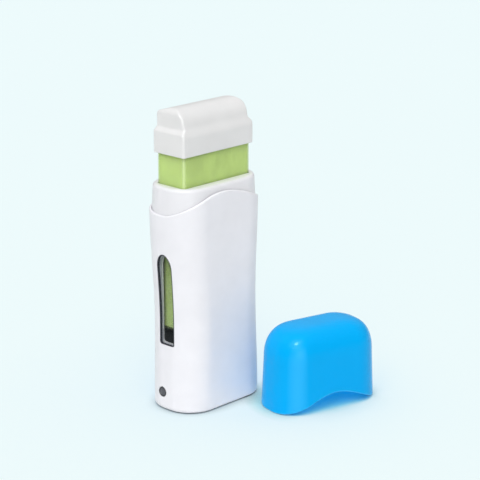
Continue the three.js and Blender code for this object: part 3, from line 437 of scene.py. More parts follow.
def hole(points, outer, inner, side, outline, lip):
    """Closes the wall round a hole. outer and inner number the same rectangle of points on the
    outside and inside of the casing. Rings run from the outer border over the surface to the
    nearest place on the outline, round the lip, through the wall and back to the inner border."""
    borders = []
    for grid in (outer, inner):
        edges = [grid[0, :-1], grid[:-1, -1], grid[-1, :0:-1], grid[:0:-1, 0]]
        borders.append(np.concatenate(edges))
    places = [points[border][:, 1:] for border in borders]
    y, z = outline(0)
    nearest = np.hypot(places[0][:, :1] - y, places[0][:, 1:] - z).argmin(1)

    def edge(spread):
        return np.stack([part[nearest] for part in outline(spread)], -1)

    steps = [(places[0] * (1 - share) + edge(lip) * share, 0) for share in HOLE_SHARES]
    steps += [(edge(spread), inset) for inset, spread in zip(*quarter(lip))]
    steps += [(edge(0), CASE_WALL), ((edge(0) + places[1]) / 2, CASE_WALL)]
    rings = [np.column_stack([side_x(side, *yz.T, inset), yz]) for yz, inset in steps]
    numbers = len(points) + np.arange(len(rings) * len(nearest)).reshape(len(rings), -1)
    rows = np.vstack([borders[0], numbers, borders[1]])
    return np.concatenate([points, *rings]), quads(rows)


def casing(finish):
    """The outer shell as one looped grid: up the outside from the foot's round to the rounded
    wavy edge, and down the inside past the shelf that the neck sits on to the foot's lip. The
    window, the lamp and the inlet each have a rectangle of the grid left out for their hole."""
    even = np.unique(np.concatenate([
        [FOOT_Z + FOOT_ROUND, INLET_ROOM[1]],
        np.linspace(*LAMP_ROOM[1:], 9),
        np.linspace(INLET_ROOM[2], WINDOW_ROOM[1], 8),
        np.linspace(*WINDOW_ROOM[1:], 40),
        [EVEN_Z],
    ]))
    foot_up, foot_in = quarter(FOOT_ROUND, 7)
    edge_in, edge_drop = quarter(EDGE_ROUND, 7)
    up = column(np.linspace(0, 1, 16)[1:])
    down = column(np.linspace(0, 1, 10))
    shelf_in = CASE_WALL + SHELF_W
    shelf_z = column(SHELF_Z, SHELF_Z - SHELF_H, SHELF_Z - SHELF_H - SHELF_W)
    rings = np.concatenate([
        case_rings(FOOT_Z + column(foot_up), column(foot_in)),
        case_rings(column(even[1:]), 0),
        case_rings(EVEN_Z + (CASE_EDGE_Z - EDGE_ROUND - EVEN_Z) * up, 0),
        case_rings(CASE_EDGE_Z - column(edge_drop[1:]), column(edge_in[1:])),
        case_rings(CASE_EDGE_Z + (SHELF_Z - CASE_EDGE_Z) * down, CASE_WALL),
        case_rings(shelf_z, column(shelf_in, shelf_in, CASE_WALL)),
        case_rings(column(even[::-1]), CASE_WALL),
        case_rings(column(FOOT_Z + FOOT_LIP_H, FOOT_Z), FOOT_ROUND + FOOT_LIP),
    ])
    numbers = np.arange(rings[..., 0].size).reshape(rings.shape[:2])
    first = len(foot_up) - 1
    last = len(rings) - 3
    x, y, _ = rings[first].T

    points = rings.reshape(-1, 3)
    all_faces = quads(numbers, looped=True)
    left_out = np.zeros(len(all_faces), bool)
    cuts = [
        (WINDOW_SIDE, WINDOW_ROOM, window_outline, WINDOW_LIP),
        (WINDOW_SIDE, LAMP_ROOM, lamp_outline, LAMP_LIP),
        (INLET_SIDE, INLET_ROOM, inlet_outline, INLET_LIP),
    ]
    round_holes = []
    for side, (half_y, z0, z1), outline, lip in cuts:
        beside = np.flatnonzero((np.sign(x) == side["sign"]) & (np.abs(y) < half_y))
        within = np.flatnonzero((even > z0 - SLACK) & (even < z1 + SLACK))
        outer = numbers[np.ix_(first + within, beside)]
        inner = numbers[np.ix_(last - within, beside)]
        for grid in (outer, inner):
            left_out |= np.isin(all_faces, grid).all(1)
        points, faces = hole(points, outer, inner, side, outline, lip)
        round_holes.append(faces)
    faces = np.concatenate([all_faces[~left_out], *round_holes])
    piece("casing", (points, faces), finish, "heater", "casing_white", "body_shell")


def neck(finish):
    """The neck that the lid slips over: a skirt down inside the shelf, a drafted wall, a rounded
    rim, a flat deck and the bevelled mouth that the cartridge goes through."""
    way = way_round(16, 6, 26)
    step_z = SHELF_Z + GAP
    skirt_z = step_z - SKIRT_H
    skirt_in = CASE_WALL + SHELF_W + GAP
    half_x, half_y = span("cartridge_bottle")[1][:2] + MOUTH_SPARE

    def flat(z, inset):
        inset = column(inset)
        return centred_rings(way, HALF_W - inset, HALF_D - inset, CASE_CORNER - inset, column(z))

    def opening(z, spread):
        spread = column(spread)
        corner = MOUTH_CORNER + spread
        return centred_rings(way, half_x + spread, half_y + spread, corner, column(z))

    def drafted(z):
        return LEDGE + DRAFT * (z - SHOULDER_Z)

    rim_in, rim_drop = quarter(RIM_ROUND, 9)
    rim_z = RIM_Z - rim_drop
    wall_z = np.linspace(SHOULDER_Z, rim_z[0], 12)[:-1]
    deck_z = RIM_Z - DECK_T
    bevel = MOUTH_BEVEL * BEVEL_MIDDLE
    mouth_z = [RIM_Z, RIM_Z - bevel, RIM_Z - MOUTH_BEVEL, deck_z]
    rings = np.concatenate([
        flat([skirt_z, step_z], skirt_in),
        flat(step_z, LEDGE),
        flat(wall_z, drafted(wall_z)),
        flat(rim_z, drafted(rim_z) + rim_in),
        opening(mouth_z, [MOUTH_BEVEL, bevel, 0, 0]),
        flat([deck_z, skirt_z], skirt_in + SKIRT_T),
    ])
    shape = closed_rings(rings, looped=True)
    piece("neck_ring", shape, finish, "heater", "neck_white", "neck_collar")


def window_ring(spread, share=1.0):
    """Evenly spaced places on the window's outline grown by spread, drawn towards its middle."""
    y, z = window_outline(spread)
    length = np.concatenate([[0], np.cumsum(np.hypot(np.diff(y), np.diff(z)))])
    at = np.linspace(0, length[-1], WINDOW_STEPS + 1)[:-1]
    middle = sum(WINDOW_Z) / 2
    return np.interp(at, length, y) * share, middle + (np.interp(at, length, z) - middle) * share


def on_window_side(spread, inset, share=1.0):
    """A ring of the window's outline at an inset below the casing's surface."""
    y, z = window_ring(spread, share)
    return np.column_stack([side_x(WINDOW_SIDE, y, z, inset), y, z])


def window(pane_finish, seal_finish, frame_finish):
    """The window in three pieces: a dark seal that lines the hole, a thick pane with a bevelled
    edge, bent as the side is bent, and the frame behind it that reaches in to the chamber."""

    def part(name, rings, finish, looped):
        shape = closed_rings(np.stack(rings), looped)
        return piece(name, shape, finish, "heater", "window_smoke", "window_lens")

    inner, outer = -SEAL_W, -SEAL_EASE
    across, down = SEAL_BEVEL
    profile = [(outer, SEAL_T), (outer, down), (outer - across, 0)]
    profile += [(inner + across, 0), (inner, down), (inner, SEAL_T)]
    rows = [on_window_side(spread, SEAL_SUNK + depth) for spread, depth in profile]
    part("window_seal", rows, seal_finish, True)

    edge = -SEAL_W - PANE_EASE
    face_edge = edge - PANE_BEVEL
    bevel = PANE_BEVEL * PANE_BEVEL_MIDDLE
    back = PANE_SUNK + PANE_T
    shares = (NEAR_POLE, 0.25, 0.5, 0.75)
    rows = [on_window_side(face_edge, PANE_SUNK, share) for share in (*shares, 1)]
    rows.append(on_window_side(edge - bevel, PANE_SUNK + bevel))
    rows.append(on_window_side(edge, PANE_SUNK + PANE_BEVEL))
    rows += [on_window_side(edge, back, share) for share in (1, *shares[::-1])]
    part("window_pane", rows, pane_finish, False)

    def at_depth(spread, share):
        y, z = window_ring(spread)
        near = side_x(WINDOW_SIDE, y, z, back + FRAME_BEHIND)
        return np.column_stack([near + (FRAME_END_X - near) * share, y, z])

    shares = np.linspace(0, 1, 7)
    rows = [at_depth(-FRAME_EASE, share) for share in shares]
    rows += [at_depth(-FRAME_EASE - FRAME_T, share) for share in shares[::-1]]
    made = part("window_frame", rows, frame_finish, True)
    mark(made, "depth", np.repeat([*shares, *shares[::-1]], WINDOW_STEPS))


def indicator_lamp(finish):
    """The lamp's lens, turned about x: a shallow dome with a raised rim round it."""
    side = -HALF_W + WINDOW_SIDE["foot"]
    face, back = side + LAMP_SUNK, side + LAMP_DEPTH
    half = LAMP_RIM_W / 2
    rim = np.radians(np.linspace(0, 180, 9))
    dome = np.radians(np.linspace(0, 90, 9))[1:]
    rim_x, rim_r = face - LAMP_RIM_H * np.sin(rim), LAMP_R - half + half * np.cos(rim)
    dome_x = face - LAMP_CROWN * (1 - np.cos(dome))
    dome_r = (LAMP_R - LAMP_RIM_W) * np.cos(dome)
    shape = turned([back, back, *rim_x, *dome_x], [0, LAMP_R, *rim_r, *dome_r], LAMP_YZ, 64)
    piece("lamp_lens", shape, finish, "heater", "lamp_lens", "indicator_lens")


def mains_inlet(finish, pin_finish):
    """The inlet's cup, a slot with half-round ends drawn along x, and its two round pins."""
    low, high = span("power_inlet")
    back, face = low[0], high[0]
    floor_x = face - INLET_DEPTH
    mouth = INLET_WALL
    bevel = INLET_RIM * BEVEL_MIDDLE

    def ring(x, inset, share=1.0):
        y, z = slot_outline(INLET_W / 2 - inset, INLET_H / 2 - inset, 96)
        return np.column_stack([x + 0 * y, y * share, INLET_Z + (z - INLET_Z) * share])

    profile = [
        (back, 0, NEAR_POLE), (back, INLET_BACK_BEVEL), (back + INLET_BACK_BEVEL, 0),
        (face - INLET_RIM, 0), (face - bevel, bevel), (face, INLET_RIM),
        (face, mouth - INLET_RIM), (face - bevel, mouth - bevel), (face - INLET_RIM, mouth),
        (floor_x, mouth), (floor_x, mouth, 0.5), (floor_x, mouth, NEAR_POLE),
    ]
    shape = closed_rings(np.stack([ring(*place) for place in profile]))
    piece("inlet_cup", shape, finish, "heater", "inlet_black", "power_inlet")
    turn = np.radians(PIN_TIP_TURNS)
    for name in ("a", "b"):
        low, high = span(f"inlet_pin_{name}")
        radius = (high[1] - low[1]) / 2
        tip_x = high[0] - PIN_TIP_ROUND * (1 - np.sin(turn))
        tip_r = radius - PIN_TIP_ROUND * (1 - np.cos(turn))
        x = [high[0], *tip_x, low[0], low[0]]
        place = ((low + high) / 2)[1:]
        shape = turned(x, [0, *tip_r, radius, 0], place, 40)
        piece(f"inlet_prong_{name}", shape, pin_finish, "heater", "pin_brass", f"inlet_pin_{name}")


# Cartridge

CARTRIDGE_WAY = way_round(10, 8, 20)


def bottle(finish, wax_finish):
    """The clear cartridge, a thin rounded box open at the top with a rounded foot, and the wax in
    it, a block that follows the inside at a small distance and rises as a thin film round the
    roller head's plug."""
    low, high = span("cartridge_bottle")

    def ring(z, inset, least_corner=BOTTLE_LEAST_CORNER):
        inset = column(inset)
        corner = np.maximum(BOTTLE_CORNER - inset, least_corner)
        return centred_rings(CARTRIDGE_WAY, high[0] - inset, high[1] - inset, corner, column(z))

    foot_up, foot_in = quarter(BOTTLE_FOOT_ROUND, 7)
    foot_z = low[2] + foot_up
    rim_in, rim_drop = quarter(BOTTLE_RIM_ROUND)
    walls = np.linspace(foot_z[-1], high[2] - BOTTLE_RIM_ROUND, BOTTLE_ROWS)[1:-1]
    floor_z = low[2] + BOTTLE_WALL
    floor_in = BOTTLE_WALL + BOTTLE_FLOOR_BEVEL
    rings = np.concatenate([
        ring(foot_z, foot_in),
        ring(walls, 0),
        ring(high[2] - rim_drop, rim_in),
        ring(high[2] - rim_drop[::-1], BOTTLE_WALL - rim_in[::-1]),
        ring(walls[::-1], BOTTLE_WALL),
        ring([floor_z + BOTTLE_FLOOR_BEVEL, floor_z], [BOTTLE_WALL, floor_in]),
    ])
    shape = closed_rings(rings)
    piece("bottle", shape, finish, "cartridge", "bottle_clear", "cartridge_bottle")

    foot, top = (corner[2] for corner in span("wax_fill"))
    film_top = high[2] - WAX_FILM_DROP
    edge_in, edge_drop = quarter(WAX_ROUND)
    walls = np.linspace(foot + WAX_FOOT_ROW, film_top, BOTTLE_ROWS)
    heights = [*(foot + edge_drop[::-1]), *walls, film_top, top, top, top]
    inset = [*(WAX_INSET + edge_in[::-1]), *(WAX_INSET + 0 * walls)]
    inset += [PLUG_INSET, PLUG_INSET, PLUG_INSET + 1, high[1] / 2]
    shape = closed_rings(ring(heights, inset, WAX_LEAST_CORNER))
    piece("wax_block", shape, wax_finish, "cartridge", "wax_green", "wax_fill")


def roller(finish):
    """The drum that lays the wax on, turned about x, with rounded ends and a trunnion at each."""
    low, high = span("wax_roller")
    end = high[0]
    drum = end - CHEEK_T
    shrink, end_in = (values[::-1] for values in quarter(DRUM_ROUND, 6))
    x = np.array([end, end, end - TRUNNION_BEVEL, drum, *(drum - end_in)])
    tip_r = TRUNNION_R - TRUNNION_BEVEL
    radius = [0, tip_r, TRUNNION_R, TRUNNION_R, *(ROLLER_R - shrink)]
    place = ((low + high) / 2)[1:]
    shape = turned([*x, *-x[::-1]], radius + radius[::-1], place, 96)
    piece("roller_drum", shape, finish, "roller", "cap_white", "wax_roller")


def cap_rings(h, wall):
    """Rings of the cap at h below its crest, set in by the wall. Above the skirt the ends step
    in along half a cosine and the front along a longer one. The front then rises to the crest on
    a quarter superellipse, and behind the crest a parabola falls to a rounded back edge."""
    low, high = span("cartridge_cap")
    z = high[2] - wall - h
    step_z = low[2] + CAP_SKIRT_H - wall / 2

    def drawn_in(height):
        middle = step_z + CAP_STEP_H / 2
        return (1 - np.cos(np.pi * np.clip((z - middle) / height + 0.5, 0, 1))) / 2

    def round_in(radius, drop):
        left = np.clip(radius - drop, 0, radius)
        return radius - np.sqrt(radius**2 - left**2)

    step = drawn_in(CAP_STEP_H)
    end_in = CAP_END_IN * step + round_in(CAP_END_ROUND - wall / 2, h)
    back_round = CAP_BACK_ROUND - wall / 2
    back_y = high[1] - wall - CAP_BACK_IN * step
    crown_share = np.sqrt(np.clip(h / CAP_CROWN_DROP, 0, 1))
    crown = CAP_CREST_Y + (back_y - back_round - CAP_CREST_Y) * crown_share
    y1 = np.where(h < CAP_CROWN_DROP, crown, back_y - round_in(back_round, h - CAP_CROWN_DROP))
    rise = CAP_FRONT_RISE - wall
    front = np.clip((rise - h) / rise, 0, 1)
    front_y = low[1] + wall + CAP_FRONT_IN * drawn_in(CAP_FRONT_STEP_H)
    arch = (1 - front**CAP_FRONT_POWER) ** (1 / CAP_FRONT_POWER)
    y0 = front_y + (CAP_CREST_Y - front_y) * (1 - arch)
    x0, x1 = low[0] + wall + end_in, high[0] - wall - end_in
    corner = np.minimum(CAP_CORNER - wall, (y1 - y0) * CAP_CORNER_SHARE)
    return rounded_rings(CARTRIDGE_WAY, x0, x1, y0, y1, corner, z)


def cap(finish):
    """The cartridge's cap: rings of its outside and of its inside, joined by a rounded lower edge
    and closed at both crests. They lie closest at the step, the back edge, the front's arch and
    the crest."""
    low, high = span("cartridge_cap")
    sides = []
    for wall in (CAP_WALL, 0):
        full = high[2] - wall - low[2]
        step_h = high[2] - wall - (low[2] + CAP_SKIRT_H - wall / 2)
        back_round = CAP_BACK_ROUND - wall / 2
        sines = np.sin(np.radians(np.linspace(8, 86, 16)))
        h = np.unique(np.round(np.concatenate([
            np.linspace(full - CAP_LIP, step_h + CAP_STEP_H, 6),
            step_h - CAP_STEP_H * np.linspace(-0.6, 1.6, 23),
            CAP_CROWN_DROP + back_round * np.linspace(0, 1, 8) ** 2,
            (CAP_FRONT_RISE - wall) * (1 - sines),
            CAP_CREST_ROWS,
        ]), 3))[::-1]
        sides.append(cap_rings(column(h), wall))
    full = high[2] - low[2]
    lip_in, lip_drop = map(column, quarter(CAP_LIP))
    outer_lip = cap_rings(full - lip_drop, lip_in)
    inner_lip = cap_rings(full - CAP_WALL + lip_in - lip_drop, CAP_WALL - lip_in)
    rings = np.concatenate([sides[0][::-1], inner_lip, outer_lip[::-1], sides[1]])
    piece("cap_moulding", closed_rings(rings), finish, "cap", "cap_white", "cartridge_cap")


# Lid


def lid(finish):
    """The lid: a drafted wall whose lower edge follows its own wave, and a dome whose half-widths
    follow a superellipse of the height. The lower edge is rounded and the crowns are closed. Each
    point also keeps its height above the lower edge."""
    rise = wave_rise(CASE_WAY, **LID_ARCH)
    z0 = LID_H - LID_DOME_H

    def wall_rings(z, wall):
        inset = wall + DRAFT * z
        return centred_rings(CASE_WAY, HALF_W - inset, HALF_D - inset, CASE_CORNER - inset, z)

    def dome_rings(share, wall):
        left = 1 - share**LID_RISE_POWER
        inset = DRAFT * z0 + wall
        half_x = (HALF_W - inset) * left ** (1 / LID_X_POWER)
        half_y = (HALF_D - inset) * left ** (1 / LID_Y_POWER)
        corner = (CASE_CORNER - inset) * half_y / (HALF_D - inset)
        return centred_rings(CASE_WAY, half_x, half_y, corner, z0 + (LID_DOME_H - wall) * share)

    # Rings go up the dome's side by even angles, then in over its top by even widths
    side = np.sin(np.radians(np.linspace(0, LID_SIDE_TURN, 26)))
    width = (1 - side[-1] ** LID_RISE_POWER) ** (1 / LID_X_POWER)
    widths = width * np.linspace(1, LID_NEAR_POLE, 18)[1:]
    shares = column(side, (1 - widths**LID_X_POWER) ** (1 / LID_RISE_POWER))
    up = column(np.linspace(0, 1, 16)[:-1])
    start = rise + LID_LIP
    wall_z = start + (z0 - start) * up
    inside, outside = (
        np.concatenate([wall_rings(wall_z, wall), dome_rings(shares, wall)])
        for wall in (LID_WALL, 0)
    )
    lip_in, lip_drop = map(column, quarter(LID_LIP, 6))
    outer_lip = wall_rings(rise + lip_drop, lip_in)
    inner_lip = wall_rings(rise + lip_drop, LID_WALL - lip_in)
    rings = np.concatenate([inside[::-1], inner_lip[1:], outer_lip[:0:-1], outside])
    x, y, z = np.moveaxis(rings, -1, 0)
    angle = math.radians(LID_TURN)
    turned_x = x * math.cos(angle) - y * math.sin(angle) + LID_AT[0]
    turned_y = x * math.sin(angle) + y * math.cos(angle) + LID_AT[1]
    shape = closed_rings(np.stack([turned_x, turned_y, z], -1))
    made = piece("lid_moulding", shape, finish, "lid", "lid_blue", "lid")
    mark(made, "above_edge", np.append((z - rise).ravel(), [LID_H, LID_H]))


# Finishes

WHITE = (1, 1, 1, 1)
NOISE_REACH = (0.3, 0.7)
SWIRL_REACH = (0.35, 0.65)
# How far a stretched pattern is moved off the origin, in metres
PATTERN_AT = (0.231, 0.417, 0.119)
CORNER_MOST = 0.25
PANE = {"tint": "F8F9FA", "surface": "3A3E44", "cover": 0.07, "corner": 0.0}
# The bottle's corner share paints a lighter highlight on its upright corners
BOTTLE = {"tint": "F6FBEA", "surface": "DDEDB6", "cover": 0.1, "corner": 0.45}
# The frame's painted highlight along its inner half, its painted shade at the far end and its
# painted highlight along the sill
FRAME_HIGHLIGHT_DEPTHS = (0.48, 0.62)
FRAME_PAINTED_SHADE = (0.8, 0.88)
FRAME_SILL_HIGHLIGHT = (0.2, 1.2)
LID_SHINE = (0.5, 0.85, 1.0, 1)
LID_PASSES = (0.1, 0.74, 0.96, 1)
# Painted highlights on the lid: lighter blue along the rounded lower edge and at the upright
# corners
LID_EDGE = (0.25, 0.9)
LID_EDGE_PAINTED_HIGHLIGHT = 0.6
LID_CORNER = (0.12, 0.25)
LID_CORNER_PAINTED_HIGHLIGHT = 0.22


def linear(colour):
    """A colour written as six hex digits, as the linear values that the shader takes."""
    parts = [int(colour[k : k + 2], 16) / 255 for k in (0, 2, 4)]
    return [c / 12.92 if c <= 0.04045 else ((c + 0.055) / 1.055) ** 2.4 for c in parts] + [1]


class Nodes:
    """A node tree and short ways to add to it."""

    def __init__(self, tree, out):
        self.tree = tree
        self.out = tree.nodes[out]

    def node(self, kind, values=None, **settings):
        """Adds a node, with its settings and the values or links of its inputs."""
        made = self.tree.nodes.new(kind)
        for name, value in settings.items():
            setattr(made, name, value)
        self.put(made, values or {})
        return made

    def put(self, node, values):
        """Sets inputs by name or number: a socket is linked and anything else is its value."""
        for name, value in values.items():
            if isinstance(value, bpy.types.NodeSocket):
                self.tree.links.new(value, node.inputs[name])
            else:
                node.inputs[name].default_value = value

    def calculate(self, operation, first, second=0.0):
        """The outcome of an operation on two values, or on the first alone."""
        return self.node("ShaderNodeMath", {0: first, 1: second}, operation=operation).outputs[0]

    def range(self, value, low, high, to_low=0, to_high=1):
        """A value brought from one range to another and held there."""
        ends = {"From Min": low, "From Max": high, "To Min": to_low, "To Max": to_high}
        return self.node("ShaderNodeMapRange", {"Value": value, **ends}).outputs[0]

    def blend(self, share, first, second):
        """Gives the output two shaders mixed by a share."""
        inputs = {0: share, 1: first.outputs[0], 2: second.outputs[0]}
        mixed = self.node("ShaderNodeMixShader", inputs)
        self.put(self.out, {"Surface": mixed.outputs[0]})


class Finish(Nodes):
    """A material and the nodes that make it, placed by Object coordinates."""

    def __init__(self, name, **values):
        self.material = bpy.data.materials.new(name)
        self.material.use_nodes = True
        super().__init__(self.material.node_tree, "Material Output")
        self.shader = self.tree.nodes["Principled BSDF"]
        self.sources = self.node("ShaderNodeTexCoord").outputs
        self.place = self.sources["Object"]
        self.put(self.shader, values)

    def noise(self, size, detail=2.0, vector=None, rough=0.5, twist=0.0):
        """Noise whose features are about size millimetres across."""
        values = {"Vector": vector or self.place, "Scale": 1 / (size * MM)}
        values.update({"Detail": detail, "Roughness": rough, "Distortion": twist})
        return self.node("ShaderNodeTexNoise", values).outputs["Fac"]

    def even(self, noise, low=0, high=1, reach=NOISE_REACH):
        """Noise brought from its usual reach to a range."""
        return self.range(noise, *reach, low, high)

    def stretched(self, x, y, z):
        """Object coordinates stretched along the axes and moved off their origin."""
        values = {"Vector": self.place, "Scale": (x, y, z), "Location": PATTERN_AT}
        return self.node("ShaderNodeMapping", values).outputs[0]

    def tint(self, share, first, second):
        """Two colours mixed by a share."""
        mixed = self.node("ShaderNodeMix", {0: share, 6: first, 7: second}, data_type="RGBA")
        return mixed.outputs[2]

    def corner(self):
        """How far a face turns to an upright corner: the square of its normal's x times y, from 0
        on the flats to a quarter halfway round."""
        facing = self.node("ShaderNodeSeparateXYZ", {0: self.sources["Normal"]}).outputs
        across = self.calculate("MULTIPLY", facing["X"], facing["Y"])
        return self.calculate("MULTIPLY", across, across)

    def bump(self, height, strength, depth, under=None):
        """A bump of the given depth in millimetres."""
        values = {"Height": height, "Strength": strength, "Distance": depth * MM}
        if under:
            values["Normal"] = under
        return self.node("ShaderNodeBump", values).outputs[0]

    def marked(self, name):
        """The value that the piece keeps at each point under a name."""
        return self.node("ShaderNodeAttribute", attribute_name=name).outputs["Fac"]

    def source(self, name):
        """What is linked to an input of the main shader."""
        return self.shader.inputs[name].links[0].from_socket


def shaded(colour, by):
    """A linear colour made lighter or darker by a factor, or by one for each of its parts."""
    return [*(np.array(colour[:3]) * by).tolist(), 1]


def moulded(name, colour, rough, grain=0.25, depth=0.02, mottle=0.02, **values):
    """Moulded plastic: a faint mottle as the melt cooled, patches of slightly different gloss,
    and the fine grain of the mould."""
    made = Finish(name, **values)
    base = linear(colour)
    patches = made.even(made.noise(size=14, detail=3))
    gloss = made.noise(size=6, detail=4)
    made.put(made.shader, {
        "Base Color": made.tint(patches, shaded(base, 1 - mottle), shaded(base, 1 + mottle)),
        "Roughness": made.even(gloss, rough - 0.03, rough + 0.04),
        "Normal": made.bump(made.noise(grain), strength=0.6, depth=depth),
    })
    return made


def casing_finish():
    """Satin white plastic, with a very slow waviness of the long faces."""
    made = moulded("casing_white", "EBEBF0", 0.34, depth=0.008, **{"Specular IOR Level": 0.5})
    slow = made.noise(size=22, detail=1)
    wavy = made.bump(slow, strength=0.25, depth=0.35, under=made.source("Normal"))
    made.put(made.shader, {"Normal": wavy})
    return made.material


def lid_finish():
    """Translucent blue plastic: it looks solid, but light that falls on it passes on as blue. Its
    colour carries a painted highlight, lighter blue along the rounded lower edge and, softly, at
    the upright corners."""
    made = moulded("lid_blue", "00AAF0", 0.2, depth=0.003, mottle=0.01, **{
        "Specular IOR Level": 0.15, "Specular Tint": LID_SHINE,
    })
    # Painted highlight: the rounded lower edge and the upright corners are painted a lighter blue
    edge = made.range(made.marked("above_edge"), *LID_EDGE, LID_EDGE_PAINTED_HIGHLIGHT, 0)
    corner = made.range(made.corner(), *LID_CORNER, 0, LID_CORNER_PAINTED_HIGHLIGHT)
    painted_highlight = made.calculate("MAXIMUM", edge, corner)
    blue = made.source("Base Color")
    made.put(made.shader, {"Base Color": made.tint(painted_highlight, blue, linear("5CCBFF"))})
    clear = made.node("ShaderNodeBsdfTransparent", {"Color": LID_PASSES})
    shadow = made.node("ShaderNodeLightPath").outputs["Is Shadow Ray"]
    made.blend(shadow, made.shader, clear)
    return made.material


def wax_finish():
    """Opaque green wax: pale swirls from the pouring and a soft glow under the surface."""
    made = Finish("wax_green", **{
        "Roughness": 0.42, "Subsurface Weight": 0.35, "Subsurface Radius": (1.0, 1.0, 0.35),
        "Subsurface Scale": 0.0025,
    })
    base = linear("D4E1AB")
    upright = made.stretched(1, 1, 0.6)
    swirl = made.noise(size=16, detail=4, vector=upright, rough=0.55, twist=1.2)
    pale = made.even(swirl, reach=SWIRL_REACH)
    made.put(made.shader, {
        "Base Color": made.tint(pale, shaded(base, 0.9), shaded(base, 1.08)),
        "Normal": made.bump(made.noise(size=2.5, detail=3), strength=0.4, depth=0.05),
    })
    return made.material


def see_through(name, tint, cover, corner, surface, rough, shine):
    """Clear plastic with faint flow lines: light passes it with its tint, and a small share of
    every face is a softly glossy surface. More of it on the upright corners paints a lighter
    highlight there. Shadow rays pass freely."""
    made = Finish(name)
    flow = made.noise(size=7, vector=made.stretched(1, 1, 0.25))
    lines = made.even(flow, reach=SWIRL_REACH)
    base = linear(surface)
    made.put(made.shader, {
        "Base Color": made.tint(lines, shaded(base, 0.96), base),
        "Roughness": made.range(lines, 0, 1, rough, rough * 1.3),
        "Specular IOR Level": shine,
        "Normal": made.bump(made.noise(size=9), strength=0.2, depth=0.05),
    })
    shadow = made.node("ShaderNodeLightPath").outputs["Is Shadow Ray"]
    passed = made.tint(shadow, linear(tint), WHITE)
    clear = made.node("ShaderNodeBsdfTransparent", {"Color": passed})
    # The larger share of glossy surface on the upright corners is a painted highlight
    surface_and_corner_highlight = made.range(made.corner(), 0, CORNER_MOST, cover, cover + corner)
    share = made.node("ShaderNodeMix", {0: shadow, 2: surface_and_corner_highlight, 3: 0.0}).outputs[0]
    made.blend(share, clear, made.shader)
    return made.material


def seal_finish():
    """Dark seal, matt, with a faint mottle."""
    return moulded("seal_dark", "3A3D46", 0.5, grain=0.18, depth=0.02, mottle=0.06).material


def frame_finish():
    """The window's frame: smoke grey, with a painted highlight in white along its inner half and
    along its sill, and painted shade that darkens its far end."""
    made = Finish("frame_grey", Roughness=0.3)
    grain = made.even(made.noise(size=1.2, detail=3), -0.04, 0.04)
    share = made.calculate("ADD", made.marked("depth"), grain)
    # A white painted highlight along the frame's inner half
    painted_streak = made.range(share, *FRAME_HIGHLIGHT_DEPTHS)
    # Painted shade: the frame turns dark towards its far end, deep in the window
    dark = made.range(share, *FRAME_PAINTED_SHADE)
    height = made.node("ShaderNodeSeparateXYZ", {0: made.place}).outputs["Z"]
    # A white painted highlight along the bottom of the window, on the sill
    sill_low, sill_high = ((WINDOW_Z[0] + above) * MM for above in FRAME_SILL_HIGHLIGHT)
    painted_highlight = made.calculate("MAXIMUM", painted_streak, made.range(height, sill_low, sill_high, 1, 0))
    smoky = made.tint(painted_highlight, linear("C0C3CB"), linear("FFFFFF"))
    made.put(made.shader, {
        "Base Color": made.tint(dark, smoky, linear("34363B")),
        "Normal": made.bump(made.noise(size=0.3), strength=0.5, depth=0.02),
    })
    return made.material


def lamp_finish():
    """The lamp's lens: grey in the middle with a darker rim, and fine rings moulded in it."""
    made = Finish("lamp_grey", Roughness=0.2, **{"Coat Weight": 0.15, "Coat Roughness": 0.05})
    centre = (0, -LAMP_YZ[0] * MM, -LAMP_YZ[1] * MM)
    from_centre = made.node("ShaderNodeMapping", {"Vector": made.place, "Location": centre})
    both = {0: from_centre.outputs[0], 1: (0, 1, 1)}
    across = made.node("ShaderNodeVectorMath", both, operation="MULTIPLY").outputs[0]
    length = made.node("ShaderNodeVectorMath", {0: across}, operation="LENGTH")
    reach = length.outputs["Value"]
    rim = (LAMP_R - LAMP_RIM_W) * MM
    darker = made.range(reach, rim - 0.15 * MM, rim + 0.1 * MM)
    rings = made.calculate("MULTIPLY", reach, 2 * math.pi / (LAMP_RING_W * MM))
    wave = made.calculate("SINE", rings)
    made.put(made.shader, {
        "Base Color": made.tint(darker, linear("4E4E55"), linear("3A3A3E")),
        "Normal": made.bump(wave, strength=0.3, depth=0.02),
    })
    return made.material


def metal(name, colour, rough, across=(1, 1, 1)):
    """Drawn metal: fine scratches stretched along one way, and a little tarnish."""
    made = Finish(name, Metallic=1.0)
    base = linear(colour)
    scratch = made.noise(size=0.4, detail=3, vector=made.stretched(*across))
    tarnish = made.even(made.noise(size=5, detail=3))
    made.put(made.shader, {
        "Base Color": made.tint(tarnish, shaded(base, 0.88), base),
        "Roughness": made.even(scratch, rough - 0.06, rough + 0.1),
        "Normal": made.bump(scratch, strength=0.3, depth=0.02),
    })
    return made.material


def ceramic_finish():
    """Fired ceramic with small dark specks."""
    made = Finish("ceramic", Roughness=0.68)
    specks = made.range(made.noise(size=0.6), 0.62, 0.7)
    made.put(made.shader, {
        "Base Color": made.tint(specks, linear("E4DDCF"), linear("B7AD9B")),
        "Normal": made.bump(made.noise(size=0.4, detail=4), strength=0.6, depth=0.05),
    })
    return made.material


def board_finish():
    """Circuit board: green lacquer over a faint weave, with paler tracks that run along it."""
    made = Finish("board_green", Roughness=0.38)
    tracks = made.node("ShaderNodeTexWave", {
        "Vector": made.place, "Scale": 160.0, "Distortion": 2.0, "Detail": 1.0,
    }, bands_direction="Y").outputs["Fac"]
    lines = made.range(tracks, 0.8, 0.9)
    made.put(made.shader, {
        "Base Color": made.tint(lines, linear("35603F"), linear("4F8156")),
        "Normal": made.bump(lines, strength=0.5, depth=0.04),
    })
    return made.material


def wire_finish(name, colour):
    """Wire insulation, slightly uneven along its length."""
    return moulded(name, colour, 0.45, grain=0.4, depth=0.02, mottle=0.08).material


def led_finish():
    """Clear red resin that lets some light through."""
    passing = {"Transmission Weight": 0.4}
    return moulded("led_red", "B23A34", 0.12, depth=0.004, mottle=0.04, **passing).material


